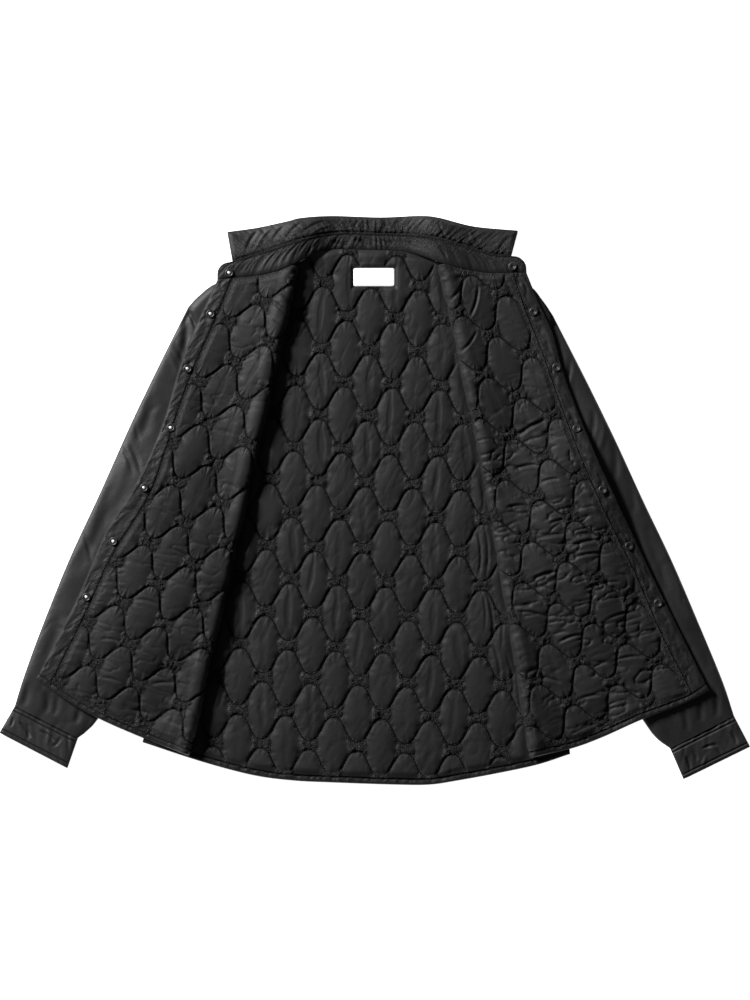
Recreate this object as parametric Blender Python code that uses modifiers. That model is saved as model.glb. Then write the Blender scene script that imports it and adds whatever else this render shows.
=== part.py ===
"""A quilted, insulated overshirt laid open on a flat surface with its lining up.

Both fronts are folded out over their own sides and rest on the sleeves, and the collar
is turned up. Lengths are in millimetres until the meshes are made, X to the right of the
laid garment, Y towards the collar and Z up. "right" and "left" are the wearer's: the
right front lies at -X.
"""

import math

import bmesh
import bpy
import numpy as np
from mathutils import Vector
from mathutils.geometry import delaunay_2d_cdt

MM = 0.001

# Cloth thicknesses and gaps
SHELL = 1.2            # outer nylon
GAP = 0.3              # between pieces
LAY_GAP = 0.5          # between a turned-out front and what it lies on
SEAM_INSET = 0.15      # each piece stops this far from its seam line
NECK_INSET = 1.3       # the collar's, where the fronts' folds thicken the neck seam
STITCHED = 1.7         # padded lining pressed down at a quilting stitch
PUFFED = 6.4           # padded lining at the middle of a quilted cell
PLAIN_BACK = 4.0       # back lining where the fronts cover it
PLAIN_FRONT = 3.5      # front lining on the part that lies face down
PLACKET = 2.7          # facing strip that carries the snaps
HEM_WIDTH = 8.5
HEM_HEIGHT = 5.0       # hem binding along its middle
HEM_EDGE = 3.4         # a front's hem binding at its edges
HEM_EDGE_BACK = 3.0    # and the back's
HEM_ROUND = 0.42       # share of its width over which a binding rounds off
EDGE_EASE = 7.0        # width over which a puffed lining thins to its edge
EDGE = 2.4             # thickness at such an edge

# How the fronts fold over
FOLD_INSIDE = 4.5      # radius of the shell at the fold
FOLD_NEUTRAL = 7.5     # radius whose length the cloth keeps
FOLD_FALL = 46.0       # distance over which the fold's height settles
NECK_FALL = 36.0       # the collar comes down to the surface this far inside the fold
PLAIN_TURN = -1.1      # turn about the fold, in radians, up to which the lining is plain
FILL_TURN = -1.0       # turn at which its padding starts to fill
FULL_TURN = -0.2       # and at which it is full

# Sleeves and cuffs, heights of the flattened tubes
SLEEVE_UNDER = 9.2     # where the front lies on the sleeve
SLEEVE_FREE = 15.0     # where it shows
SLEEVE_EASE = 26.0     # distance from the sleeve's folded edge to its full height
SLEEVE_GAP = 2.6       # air left inside
EDGE_RISE = 4.0        # height of a tube's folded edge over its underside
SLEEVE_CLEAR = 1.2     # between the sleeve and the front it lies over
CUFF_HEIGHT = 9.0
WALL = 3.0             # wall at a tube's folded edge
AIR_SHARE = 0.3        # most of a tube's height that its air takes
UNDER_EASE = 9.0       # width over which a tube's underside comes down from its edge
SHOWN_EASE = 60.0      # width over which a sleeve fills out where it shows
ARMHOLE_EASE = 45.0    # length over which it thins towards the armhole
CUFF_EASE = 55.0       # and towards the cuff
UNDERARM = 6.0         # the sleeve lies over the body from this far above the underarm
GATHERS = dict(count=4, height=1.3, fall=28.0)    # pleats where sleeve and cuff meet

# Spacing of points
CURVE_STEP = 3.0       # along the fine curves from which outlines are read
MEET = 1e-4            # points nearer than this are one
NOTHING = 0.01         # a height or a distance under this counts as none
MERGE = 1e-5           # the same for a turned shape, in metres
SLIVER = 1e-3          # a triangle under half this area isn't read
TRIANGLE = 0.87        # height of an even triangle with sides of 1
EDGE_STEP = 25.0       # along the panels' edges
FACE_STEP = 30.0       # across a front's shell, and a tube
FACE_CLEAR = 12.6      # such points keep this far from an edge
HIDDEN_STEP = 60.0     # across cloth that a front hides
HIDDEN_CLEAR = 16.0
BACK_STEP = 90.0       # across the back's shell
BACK_CLEAR = 40.0
LINING_STEP = 45.0     # across the part of a front's lining that lies face down
UNDER_FRONT = 18.0     # the back's hidden points start this far under a front
PAST_FOLD = dict(shell=9.0, hidden=22.5, quilt=3.75, lining=15.0)    # first points past a fold
FOLD_STEPS = 4         # across the half turn of the fold
FOLD_ROW = 14.0        # between the lining's rows along a fold
FOLD_CLEAR = 5.0       # rows along a fold keep this far from an edge
WAVE_STEPS = 6         # points in one wave of a quilting line
QUILT_CLEAR = 5.5      # quilting points keep this far from an edge
WIDE_CELL = 0.4        # a cell takes more points where its wave's cosine is over this
SIDE_STEP = 24.0       # along a sleeve's sides
SEAM_STEP = 9.0        # along the seam of sleeve and cuff
CUFF_SIDE_STEP = 14.0
CUFF_END_STEP = 12.0
TUBE_ROWS = dict(sleeve=(6.0, 17.0), cuff=(6.0,))    # rows beside a tube's folded edges
TUBE_INNER_STEP = 42.0
COLLAR_STEP = 20.0
COLLAR_ROW = 6.5       # row beside the collar's edges
STAND_END_STEP = 7.0
LABEL_STEP = 15.0      # round the label's bed

# Quilting: waved stitch lines, each the mirror of the next, so that they close on
# pointed oval cells. origin is a cell's centre, along is one wave, down is one row.
WAVE = 0.342           # height of a wave in rows
ROUNDNESS = 0.55       # power by which a cell's padding rises from its stitch lines
NARROWING = 0.75       # power by which it falls as the cell narrows
QUILTING = {
    "back": dict(origin=(24, 120), along=(69.1, -2.4), down=(-1.5, -47.6)),
    "right": dict(origin=(-281.9, -134.0), along=(62.0, -31.0), down=(-20.2, -43.2)),
    "left": dict(origin=(272.9, -186.8), along=(62.6, 29.5), down=(18.6, -44.1)),
}

# Curves seen from above, as points of smooth lines.
# cf is the edge with the snaps, seam the inner edge of its facing.
FRONTS = {
    "right": dict(
        side=-1,
        fold=[(-108, 343), (-266, -367)],
        bow=0.0,
        neck=[(-226, 317), (-197, 320), (-162, 324), (-132, 332), (-108, 343)],
        cf=[(-226, 317), (-257, 251), (-280, 193), (-307, 104), (-344, 22),
            (-385, -43), (-423, -131), (-455, -195), (-486, -256)],
        seam=[(-205, 319), (-231, 255), (-254, 203), (-280, 136), (-301, 68),
              (-326, 2), (-375, -77), (-417, -167), (-450, -234), (-462, -260)],
        hem=[(-486, -256), (-442, -288), (-397, -313), (-334, -341), (-266, -367)],
        shoulder=[(-108, 343), (-165, 330), (-226, 313), (-254, 293), (-269, 277)],
        armhole=[(-269, 277), (-249, 231), (-241, 159), (-257, 80), (-309, 18)],
        side_seam=[(-309, 18), (-319, -144), (-334, -348)],
        under_hem=[(-334, -348), (-301, -357), (-266, -367)],
        sleeve_outer=[(-269, 277), (-307, 201), (-349, 114), (-396, 9), (-440, -86),
                      (-481, -188), (-506, -257), (-518, -296)],
        sleeve_inner=[(-309, 18), (-272, -14), (-257, -74), (-293, -152),
                      (-352, -246), (-397, -313), (-414, -332), (-427, -342)],
        cuff=[(-518, -296), (-540, -334), (-442, -385), (-427, -342)],
        snaps=[(-209, 327), (-236, 268), (-269, 189), (-293, 104), (-331, 18),
               (-375, -59), (-414, -139)],
    ),
    "left": dict(
        side=1,
        fold=[(90, 343), (222, -370)],
        bow=8.0,
        neck=[(218, 327), (192, 327), (159, 327), (116, 335), (90, 343)],
        cf=[(218, 327), (234, 288), (255, 241), (275, 172), (313, 75), (346, 2),
            (394, -99), (441, -194), (480, -273)],
        seam=[(199, 324), (218, 268), (239, 216), (267, 137), (296, 61), (329, -15),
              (373, -103), (412, -193), (451, -268)],
        hem=[(480, -273), (444, -292), (383, -315), (326, -341), (281, -357),
             (222, -370)],
        shoulder=[(90, 343), (152, 332), (218, 311), (241, 288), (258, 263)],
        armhole=[(258, 263), (245, 216), (238, 152), (250, 75), (287, 15)],
        side_seam=[(287, 15), (286, -172), (281, -365)],
        under_hem=[(281, -365), (250, -368), (222, -370)],
        sleeve_outer=[(258, 263), (304, 173), (346, 87), (386, 0), (427, -86),
                      (464, -172), (500, -259), (517, -310)],
        sleeve_inner=[(287, 15), (252, -17), (239, -77), (283, -155), (336, -241),
                      (385, -315), (405, -342), (425, -357)],
        cuff=[(517, -310), (540, -354), (444, -401), (425, -357)],
        snaps=[(198, 336), (228, 271), (261, 191), (290, 103), (327, 15),
               (365, -66), (407, -148)],
    ),
}
BACK_NECK = [(-108, 343), (-73, 359), (-47, 361), (8, 360), (42, 358), (65, 353),
             (90, 343)]
BACK_HEM = [(-334, -348), (-252, -375), (-177, -395), (-119, -403), (-59, -406),
            (29, -409), (79, -409), (120, -403), (180, -392), (235, -380), (281, -365)]
LEAF_SEAM = [(-204, 342), (-152, 358), (-103, 374), (-53, 383), (8, 382), (59, 380),
             (109, 371), (167, 353), (196, 351)]
LEAF_TOP = [(-212, 386), (-169, 392), (-126, 401), (-105, 406), (-60, 409), (8, 407),
            (64, 409), (93, 406), (142, 394), (206, 388)]
STAND_END = {
    "right": [(-226, 317), (-225, 331), (-217, 340), (-204, 342)],
    "left": [(196, 351), (207, 349), (216, 341), (218, 327)],
}
LEAF_THICK = 4.4
STAND_THICK = 4.0
COLLAR_EDGE = 2.6      # thickness of the collar at its edges
COLLAR_EASE = 6.0      # width over which it thins to that
LABEL = dict(centre=(-1, 321), size=(59, 26), thick=0.7)
LABEL_BED = dict(thick=3.0, rim=2.0, margin=5.0)    # lining pressed flat under the label

BARE_END = 3.0         # the back's quilting ends this far under a fold
BARE_EASE = 14.0       # and thins over this width
BARE_ROW = 4.5         # a row of points ends it, this far under the fold
LEAST_SHOWN = 0.02     # quilting fainter than this has no points

# Snap halves, as (radius, height) from the middle of the top down the outer side
SNAP_RADIUS = 6.2
SNAP_SIDES = 12
SNAP_PROFILE = {
    "post": [(0, 2.55), (1.75, 2.1), (3.2, 1.2), (3.9, 1.05), (4.85, 1.9),
             (SNAP_RADIUS, 0.55), (5.9, 0), (0, 0)],
    "socket": [(0, 0.5), (2.2, 0.5), (2.9, 1.4), (4.45, 1.9), (5.75, 1.4),
               (SNAP_RADIUS, 0.5), (5.9, 0), (0, 0)],
}

Z_BACK = SHELL + GAP                                     # underside of the back lining
Z_FIRST = Z_BACK + PLAIN_BACK + GAP                      # underside of the folded fronts
LINING = SHELL + GAP                                     # lining's inner face, from shell
Z_BODY = Z_FIRST + LINING + PLAIN_FRONT                  # top of the part laid face down
FOLD_OUTSIDE = FOLD_INSIDE + LINING + PLAIN_FRONT
FOLD_AXIS = Z_FIRST + FOLD_OUTSIDE
HALF_TURN = math.pi * FOLD_NEUTRAL


# ---------------------------------------------------------------- plane geometry

def smooth_line(points, step):
    """Points about step apart on a smooth curve through the given ones."""
    p = np.array(points, float)
    before = np.vstack([2 * p[0] - p[1], p[:-1]])
    after = np.vstack([p[1:], 2 * p[-1] - p[-2]])
    tangent = (after - before) / 2
    line = [p[:1]]
    for i in range(len(p) - 1):
        count = max(4, int(np.linalg.norm(p[i + 1] - p[i]) / CURVE_STEP))
        s = np.linspace(0, 1, count + 1)[1:, None]
        line.append(
            (2 * s**3 - 3 * s**2 + 1) * p[i] + (s**3 - 2 * s**2 + s) * tangent[i]
            + (3 * s**2 - 2 * s**3) * p[i + 1] + (s**3 - s**2) * tangent[i + 1]
        )
    return spaced(np.vstack(line), step)


def spaced(line, step):
    """The same line with evenly spaced points, keeping both ends."""
    run = np.concatenate([[0], np.cumsum(np.linalg.norm(np.diff(line, axis=0), axis=1))])
    count = max(1, round(run[-1] / step))
    at = np.linspace(0, run[-1], count + 1)
    return np.column_stack([np.interp(at, run, line[:, k]) for k in range(2)])


def split_near(line, point):
    """Splits a line at the place nearest to a point; both halves keep that place."""
    a, b = line[:-1], line[1:]
    along = ((point - a) * (b - a)).sum(1) / ((b - a) ** 2).sum(1)
    foot = a + np.clip(along, 0, 1)[:, None] * (b - a)
    i = int(np.argmin(np.linalg.norm(foot - point, axis=1)))
    return np.vstack([line[: i + 1], foot[i]]), np.vstack([foot[i], line[i + 1 :]])


def cut_end(line, length):
    """The line without its last stretch of that length."""
    run = np.cumsum(np.linalg.norm(np.diff(line[::-1], axis=0), axis=1))
    i = int(np.searchsorted(run, length))
    before = run[i - 1] if i else 0.0
    a, b = line[::-1][i], line[::-1][i + 1]
    end = a + (b - a) * (length - before) / (run[i] - before)
    return np.vstack([line[: len(line) - 1 - i], end])


def chain(*lines):
    """One closed outline from lines that follow each other."""
    return np.vstack([line[:-1] for line in lines])


def ring(outline):
    """The outline with its first point again at its end."""
    return np.vstack([outline, outline[:1]])


def distance_to(points, line):
    """Distance of each point to a line of points."""
    best = np.full(len(points), np.inf)
    for a, b in zip(line[:-1], line[1:]):
        d = b - a
        s = np.clip((points - a) @ d / (d @ d), 0, 1)
        best = np.minimum(best, np.linalg.norm(points - a - s[:, None] * d, axis=1))
    return best


def inside(points, outline):
    """Which points lie inside a closed outline."""
    x, y = points[:, 0], points[:, 1]
    found = np.zeros(len(points), bool)
    for (x0, y0), (x1, y1) in zip(outline, np.roll(outline, -1, axis=0)):
        if y0 == y1:
            continue
        crosses = (y0 > y) != (y1 > y)
        found ^= crosses & (x < x0 + (y - y0) * (x1 - x0) / (y1 - y0))
    return found


def area_of(outline):
    x, y = outline[:, 0], outline[:, 1]
    return 0.5 * float((x * np.roll(y, -1) - y * np.roll(x, -1)).sum())


def ease(s):
    """A smooth step from 0 at s = 0 to 1 at s = 1."""
    s = np.clip(s, 0, 1)
    return s * s * (3 - 2 * s)


def grid_inside(outline, step, clear):
    """Points of an even triangular grid that lie inside and clear of the outline."""
    low, high = outline.min(0), outline.max(0)
    grid = []
    for row, y in enumerate(np.arange(low[1] + step / 2, high[1], step * TRIANGLE)):
        start = low[0] + step * (0.25 + 0.5 * (row % 2))
        grid += [(x, y) for x in np.arange(start, high[0], step)]
    grid = np.array(grid)
    grid = grid[inside(grid, outline)]
    return grid[distance_to(grid, ring(outline)) > clear]


def triangles(points, edges):
    """Triangles of a plane set of points that keep the given edges."""
    result = delaunay_2d_cdt(
        [Vector(p) for p in points], edges, [], 0, MEET, True
    )
    flat = np.array([tuple(v) for v in result[0]])
    faces = np.array([f for f in result[2]], int)
    a, b, c = (flat[faces[:, k]] for k in range(3))
    turn = (b[:, 0] - a[:, 0]) * (c[:, 1] - a[:, 1]) - (b[:, 1] - a[:, 1]) * (c[:, 0] - a[:, 0])
    faces[turn < 0] = faces[turn < 0][:, ::-1]
    return flat, faces


def fill(outline, inner=(), edges=()):
    """Fills an outline, with further points and edges inside it.

    Returns the points, the outline's first, and the triangles."""
    count = len(outline)
    points = np.vstack([outline] + [np.reshape(inner, (-1, 2))])
    around = [(i, (i + 1) % count) for i in range(count)]
    flat, faces = triangles(points, around + [(a + count, b + count) for a, b in edges])
    if len(flat) != len(points):
        raise ValueError(f"outline and inner points meet: {len(points)} became {len(flat)}")
    return flat, within_outline(flat, faces, outline)


def within_outline(flat, faces, outline):
    """The triangles inside an outline, less the flat ones along its straight edges."""
    count = len(outline)
    faces = faces[inside(flat[faces].mean(1), outline)]
    step = 1 if area_of(outline) > 0 else -1
    ahead = np.roll(faces, -1, axis=1)
    on_edge = (faces < count) & (ahead < count)
    backwards = on_edge & ((faces - ahead) % count == step % count)
    return faces[~backwards.any(1)]


# ---------------------------------------------------------------- heights

class HeightMap:
    """Heights over the plane on an even grid."""

    STEP = 4.0
    REACH = (560, 430)       # half its size
    SOFTENING = (3, 2, 1)    # steps over which a rise is averaged
    BRIDGE = 2               # steps by which cloth stands clear of a rise

    def __init__(self):
        self.x, self.y = (np.arange(-reach, reach + 1, self.STEP) for reach in self.REACH)
        self.z = np.zeros((len(self.x), len(self.y)))
        self.points = np.stack(np.meshgrid(self.x, self.y, indexing="ij"), -1).reshape(-1, 2)

    def raise_inside(self, outline, height):
        """Lifts the map to a height, or a function of the points, inside an outline."""
        within = inside(self.points, outline)
        new = height(self.points[within]) if callable(height) else height
        flat = self.z.reshape(-1)
        flat[within] = np.maximum(flat[within], new)
        return self

    def draped(self):
        """Rounds the map as cloth would lie on it; it never goes below the map."""
        wide = sum(self.SOFTENING) + self.BRIDGE
        for axis in (0, 1):
            shifts = [np.roll(self.z, k, axis) for k in range(-wide, wide + 1)]
            self.z = np.max(shifts, axis=0)
        for reach in self.SOFTENING:
            for axis in (0, 1):
                shifts = [np.roll(self.z, k, axis) for k in range(-reach, reach + 1)]
                self.z = np.mean(shifts, axis=0)
        return self

    def at(self, points):
        u = np.clip((points[:, 0] - self.x[0]) / self.STEP, 0, len(self.x) - 1.001)
        v = np.clip((points[:, 1] - self.y[0]) / self.STEP, 0, len(self.y) - 1.001)
        i, j = u.astype(int), v.astype(int)
        u, v = u - i, v - j
        z = self.z
        return (z[i, j] * (1 - u) * (1 - v) + z[i + 1, j] * u * (1 - v)
                + z[i, j + 1] * (1 - u) * v + z[i + 1, j + 1] * u * v)


def interpolated(flat, faces, values, points):
    """Values at plan points, read from a triangulated surface."""
    best = np.full(len(points), -np.inf)
    found = np.zeros(len(points))
    for a, b, c in faces:
        matrix = np.column_stack([flat[b] - flat[a], flat[c] - flat[a]])
        if abs(np.linalg.det(matrix)) < SLIVER:
            continue
        share = (points - flat[a]) @ np.linalg.inv(matrix).T
        least = np.minimum(share.min(1), 1 - share.sum(1))
        value = values[a] + share @ (values[b] - values[a], values[c] - values[a])
        closer = least > best
        best[closer], found[closer] = least[closer], value[closer]
    return found


def quilt_axes(name):
    """Turns points into waves along and rows across a panel's quilting."""
    q = QUILTING[name]
    matrix = np.linalg.inv(np.column_stack([q["along"], q["down"]]))
    return lambda points: (np.asarray(points) - q["origin"]) @ matrix.T


def stitch_row(line, along):
    """Where stitch line number line runs, in rows."""
    return line + 0.5 + (-1.0) ** line * WAVE * np.cos(2 * np.pi * along)


def puff(points, name):
    """How full the padding is at each point: 0 on a stitch line, 1 in a cell's middle."""
    along, row = quilt_axes(name)(points).T
    full = np.zeros(len(points))
    for shift in (-1, 0, 1):
        line = np.floor(row) + shift
        low = stitch_row(line - 1, along)
        high = stitch_row(line, along)
        within = (row >= low) & (row < high)
        width = high - low
        v = np.clip((row - low) / width, 0, 1)
        shape = (4 * v * (1 - v)) ** ROUNDNESS * (width / (1 + 2 * WAVE)) ** NARROWING
        full = np.where(within, shape, full)
    return full


def quilt_points(outline, name, clear):
    """Points and stitch edges that carry the quilting inside an outline."""
    q = QUILTING[name]
    basis = np.column_stack([q["along"], q["down"]])
    corners = quilt_axes(name)(outline)
    first, last = np.floor(corners.min(0)).astype(int) - 1, np.ceil(corners.max(0)).astype(int) + 1
    waves = np.arange(first[0] * WAVE_STEPS, last[0] * WAVE_STEPS + 1) / WAVE_STEPS
    runs = []
    for row in range(first[1], last[1] + 1):
        runs.append((np.column_stack([waves, stitch_row(row, waves)]), True))
        runs.append((np.column_stack([waves, np.full(len(waves), float(row))]), False))
        wide = waves[np.cos(2 * np.pi * waves) * (-1.0) ** row > WIDE_CELL]
        for side in (-1, 1):
            half = (0.5 + WAVE * np.cos(2 * np.pi * wide) * (-1.0) ** row) / 2
            runs.append((np.column_stack([wide, row + side * half]), False))
    closed = ring(outline)
    points, edges = [], []
    for run, stitched in runs:
        plan = run @ basis.T + q["origin"]
        keep = inside(plan, outline) & (distance_to(plan, closed) > clear)
        number = len(points) + np.cumsum(keep) - 1
        points.extend(plan[keep])
        if stitched:
            edges += [
                (int(number[i]), int(number[i + 1]))
                for i in range(len(keep) - 1) if keep[i] and keep[i + 1]
            ]
    return np.array(points), edges


# ---------------------------------------------------------------- meshes

def loops_of(faces):
    """The outline of a set of triangles, as a closed loop of point numbers."""
    ends = {}
    used = {(a, b) for f in faces for a, b in zip(f, np.roll(f, -1))}
    for a, b in used:
        if (b, a) not in used:
            ends[a] = b
    start = next(iter(ends))
    loop = [start]
    while ends[loop[-1]] != start:
        loop.append(ends[loop[-1]])
    if len(loop) != len(ends):
        raise ValueError("a piece has more than one outline")
    return loop


def drawn_in(outline, amount):
    """The outline moved inwards by a small amount."""
    before, after = np.roll(outline, 1, axis=0), np.roll(outline, -1, axis=0)
    one = outline - before
    two = after - outline
    one /= np.linalg.norm(one, axis=1)[:, None]
    two /= np.linalg.norm(two, axis=1)[:, None]
    normal = np.column_stack([-(one + two)[:, 1], (one + two)[:, 0]])
    normal /= np.maximum(np.linalg.norm(normal, axis=1), 1e-9)[:, None]
    lean = np.clip(normal[:, 0] * -one[:, 1] + normal[:, 1] * one[:, 0], 0.5, 1)
    inward = amount * np.sign(area_of(outline))
    return outline + normal * (inward / lean)[:, None]


MATERIALS = {
    "shell": ((0.030, 0.030, 0.031), 0.46),
    "lining": ((0.018, 0.018, 0.019), 0.42),
    "binding": ((0.016, 0.016, 0.017), 0.50),
    "label": ((0.86, 0.86, 0.85), 0.70),
    "snap": ((0.020, 0.020, 0.021), 0.35),
}


def material(name):
    found = bpy.data.materials.get(name)
    if found:
        return found
    colour, roughness = MATERIALS[name]
    made = bpy.data.materials.new(name)
    made.use_nodes = True
    shader = made.node_tree.nodes["Principled BSDF"]
    shader.inputs["Base Color"].default_value = (*colour, 1)
    shader.inputs["Roughness"].default_value = roughness
    shader.inputs["Metallic"].default_value = 0.6 if name == "snap" else 0.0
    return made


def link(name, mesh, finish):
    """An object of a mesh, with its material, in the overshirt's collection."""
    mesh.materials.append(material(finish))
    made = bpy.data.objects.new(name, mesh)
    bpy.data.collections["overshirt"].objects.link(made)
    return made


def make(name, points, faces, finish):
    """An object of points in millimetres and faces."""
    mesh = bpy.data.meshes.new(name)
    mesh.from_pydata([tuple(p) for p in np.asarray(points) * MM], [], [list(f) for f in faces])
    mesh.shade_smooth()
    mesh.set_sharp_from_angle(angle=math.radians(40))
    return link(name, mesh, finish)


def wall(name, finish, under, over, place_under, place_over, mirrored=False):
    """A closed cloth wall between an under and an upper face with one outline.

    under and over are (points, triangles), both with the outline's points first;
    the place functions turn plan points into space."""
    flat_u, faces_u = under
    flat_o, faces_o = over
    rim = len(loops_of(faces_u))
    low, high = place_under(flat_u), place_over(flat_o)
    count = len(low)
    sides = []
    for i in range(rim):
        j = (i + 1) % rim
        sides += [(i, j, count + j), (i, count + j, count + i)]
    faces = [tuple(f[::-1]) for f in faces_u] + [tuple(f + count) for f in faces_o] + sides
    if mirrored:
        faces = [f[::-1] for f in faces]
    return make(name, np.vstack([low, high]), faces, finish)


# ---------------------------------------------------------------- a folded front

class Front:
    """One front: its outline unrolled in the plane of its turned-out part.

    Points there are (out, down): out from the fold line, down along it. The part that
    lies face down continues past the fold, at negative out."""

    def __init__(self, name):
        self.name = name
        self.c = FRONTS[name]
        top, end = np.array(self.c["fold"], float)
        self.top = top
        self.length = np.linalg.norm(end - top)
        self.down = (end - top) / self.length
        self.out = np.array([-self.down[1], self.down[0]]) * self.c["side"]
        self.base = None
        self.shared = None
        self.mirrored = self.out[0] > 0

    def bow(self, down):
        return self.c["bow"] * np.sin(np.pi * np.clip(down / self.length, 0, 1))

    def unroll(self, plan, turned=True):
        """Plan points as (out, down) of the unrolled front."""
        rel = np.asarray(plan, float) - self.top
        down = rel @ self.down
        out = rel @ self.out - self.bow(down)
        if not turned:
            out = 2 * FOLD_OUTSIDE - HALF_TURN - out
        return np.column_stack([out, down])

    def plan(self, flat):
        """Plan points of the turned-out part's plane."""
        out = flat[:, 0] + self.bow(flat[:, 1])
        return self.top + out[:, None] * self.out + flat[:, 1:2] * self.down

    def angle(self, flat):
        """Turn about the fold: -90 degrees and less lies face down, 90 and more is out."""
        return (flat[:, 0] - FOLD_OUTSIDE + HALF_TURN / 2) / FOLD_NEUTRAL

    def past_fold(self, flat):
        """How far points lie past the fold: over 0 turned out, under 0 face down."""
        turn = self.angle(flat)
        return (turn - np.clip(turn, -np.pi / 2, np.pi / 2)) * FOLD_NEUTRAL

    def rest_height(self, plan):
        """Height of the shell on what it lies on, with the fold's rise."""
        base = self.base.at(plan) + LAY_GAP
        rel = plan - self.top
        down = rel @ self.down
        out = rel @ self.out - self.bow(down)
        rise = ease(1 - (out - FOLD_OUTSIDE) / FOLD_FALL)
        return base + np.maximum(FOLD_AXIS + FOLD_INSIDE - base, 0) * rise

    def surface_height(self, flat):
        """Height of the shell's face on the carrier's triangles, where it is turned out."""
        points, faces = self.shared
        return interpolated(points, faces, self.rest_height(self.plan(points)), flat)

    def lay(self, flat, lift):
        """Space points of the unrolled front, lift millimetres from the shell's face."""
        turn = self.angle(flat)
        radius = FOLD_INSIDE + lift
        turned = turn >= np.pi / 2
        under = turn <= -np.pi / 2
        bend = np.clip(turn, -np.pi / 2, np.pi / 2)
        out = np.where(turned, flat[:, 0], FOLD_OUTSIDE - radius * np.cos(bend))
        out = np.where(under, 2 * FOLD_OUTSIDE - HALF_TURN - flat[:, 0], out)
        plan = self.plan(np.column_stack([out, flat[:, 1]]))
        height = np.where(under, Z_BODY - lift, FOLD_AXIS + radius * np.sin(bend))
        if turned.any():
            height[turned] = self.surface_height(flat[turned]) + lift[turned]
        return np.column_stack([plan, height])

    def outlines(self):
        """The front's outline, its facing and its hem, all unrolled."""
        c = self.c
        line = {key: smooth_line(c[key], EDGE_STEP) for key in
                ("cf", "seam", "hem", "shoulder", "armhole", "side_seam", "under_hem")}
        neck = smooth_line(c["neck"], EDGE_STEP)
        neck_cf, neck_fold = split_near(neck, line["seam"][0])
        cf = cut_end(line["cf"], HEM_WIDTH)
        side = cut_end(line["side_seam"], HEM_WIDTH)
        flat = {key: self.unroll(value) for key, value in dict(
            neck_cf=neck_cf, neck_fold=neck_fold, cf=cf, hem=line["hem"], seam=line["seam"],
        ).items()}
        under = {key: self.unroll(line[key], False) for key in
                 ("shoulder", "armhole", "under_hem")}
        under["side"] = self.unroll(side, False)
        # The hem runs on round the fold and along the part that lies face down.
        hem = spaced(np.vstack([flat["hem"], under["under_hem"][::-1]]), EDGE_STEP)
        inset = drawn_in_line(hem, HEM_WIDTH, flat["cf"][-1], under["side"][-1])
        inset_cf, inset_side = split_near(inset, flat["seam"][-1])
        seam = flat["seam"].copy()
        seam[0] = flat["neck_cf"][-1]
        seam[-1] = inset_cf[-1]
        self.lines = dict(
            neck_cf=flat["neck_cf"], neck_fold=flat["neck_fold"], cf=flat["cf"], seam=seam,
            hem=hem, inset_cf=inset_cf, inset_side=inset_side,
            shoulder=under["shoulder"], armhole=under["armhole"], side=under["side"],
        )
        n = self.lines
        hem_closed = np.vstack([n["cf"][-1:], hem, under["side"][-1:]])
        self.main = chain(n["seam"], n["inset_side"], n["side"][::-1], n["armhole"][::-1],
                          np.vstack([n["shoulder"][::-1], n["neck_fold"][-1:]]),
                          n["neck_fold"][::-1])
        self.facing = chain(n["cf"], n["inset_cf"], n["seam"][::-1], n["neck_cf"][::-1])
        self.binding = chain(hem_closed, n["inset_side"][::-1], n["inset_cf"][::-1])

    def fold_points(self, step):
        """Points in rows across the fold, every step along it."""
        turns = np.linspace(-np.pi / 2, np.pi / 2, FOLD_STEPS + 1)
        out = FOLD_OUTSIDE - HALF_TURN / 2 + turns * FOLD_NEUTRAL
        down = np.arange(step * 0.6, self.length - HEM_WIDTH, step)
        return np.stack(np.meshgrid(out, down), -1).reshape(-1, 2)

    def carrier(self):
        """One coarse triangulation of the whole front, which its pieces share."""
        pieces = [self.main, self.facing, self.binding]
        whole = [ring(piece) for piece in pieces]
        out = grid_inside(self.main, FACE_STEP, FACE_CLEAR)
        under = grid_inside(self.main, HIDDEN_STEP, FACE_STEP)
        grid = np.vstack([out[self.past_fold(out) > PAST_FOLD["shell"]],
                          under[self.past_fold(under) < -PAST_FOLD["hidden"]]])
        rows = self.fold_points(FACE_STEP)
        rows = rows[inside(rows, self.main)]
        rows = rows[distance_to(rows, whole[0]) > FOLD_CLEAR]
        points = [grid, rows]
        edges = []
        for line in whole:
            start = sum(len(p) for p in points)
            points.append(line[:-1])
            count = len(line) - 1
            edges += [(start + i, start + (i + 1) % count) for i in range(count)]
        flat, faces = triangles(np.vstack(points), edges)
        within = np.any([inside(flat[faces].mean(1), piece) for piece in pieces], axis=0)
        return flat, faces[within]


def drawn_in_line(line, amount, first, last):
    """An open line moved sideways, with its ends set on two given points."""
    step = np.gradient(line, axis=0)
    step /= np.linalg.norm(step, axis=1)[:, None]
    normal = np.column_stack([-step[:, 1], step[:, 0]])
    moved = line + normal * amount
    if np.linalg.norm(moved[0] - first) > np.linalg.norm(line[0] - normal[0] * amount - first):
        moved = line - normal * amount
    clear = (np.linalg.norm(moved - first, axis=1) > amount) & (
        np.linalg.norm(moved - last, axis=1) > amount)
    return np.vstack([first, moved[clear], last])


def build_front(front):
    flat, faces = front.shared
    centres = flat[faces].mean(1)
    of_shell = inside(centres, front.main) | inside(centres, front.facing)
    points, tris, _ = renumbered(flat, faces[of_shell])
    wall(f"front_{front.name}_shell", "shell", (points, tris), (points, tris),
         lambda p: front.lay(p, np.zeros(len(p))), lambda p: front.lay(p, np.full(len(p), SHELL)),
         front.mirrored)
    lining(front, flat, faces)
    facing(front, flat, faces)
    binding(front, flat, faces)


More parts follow.
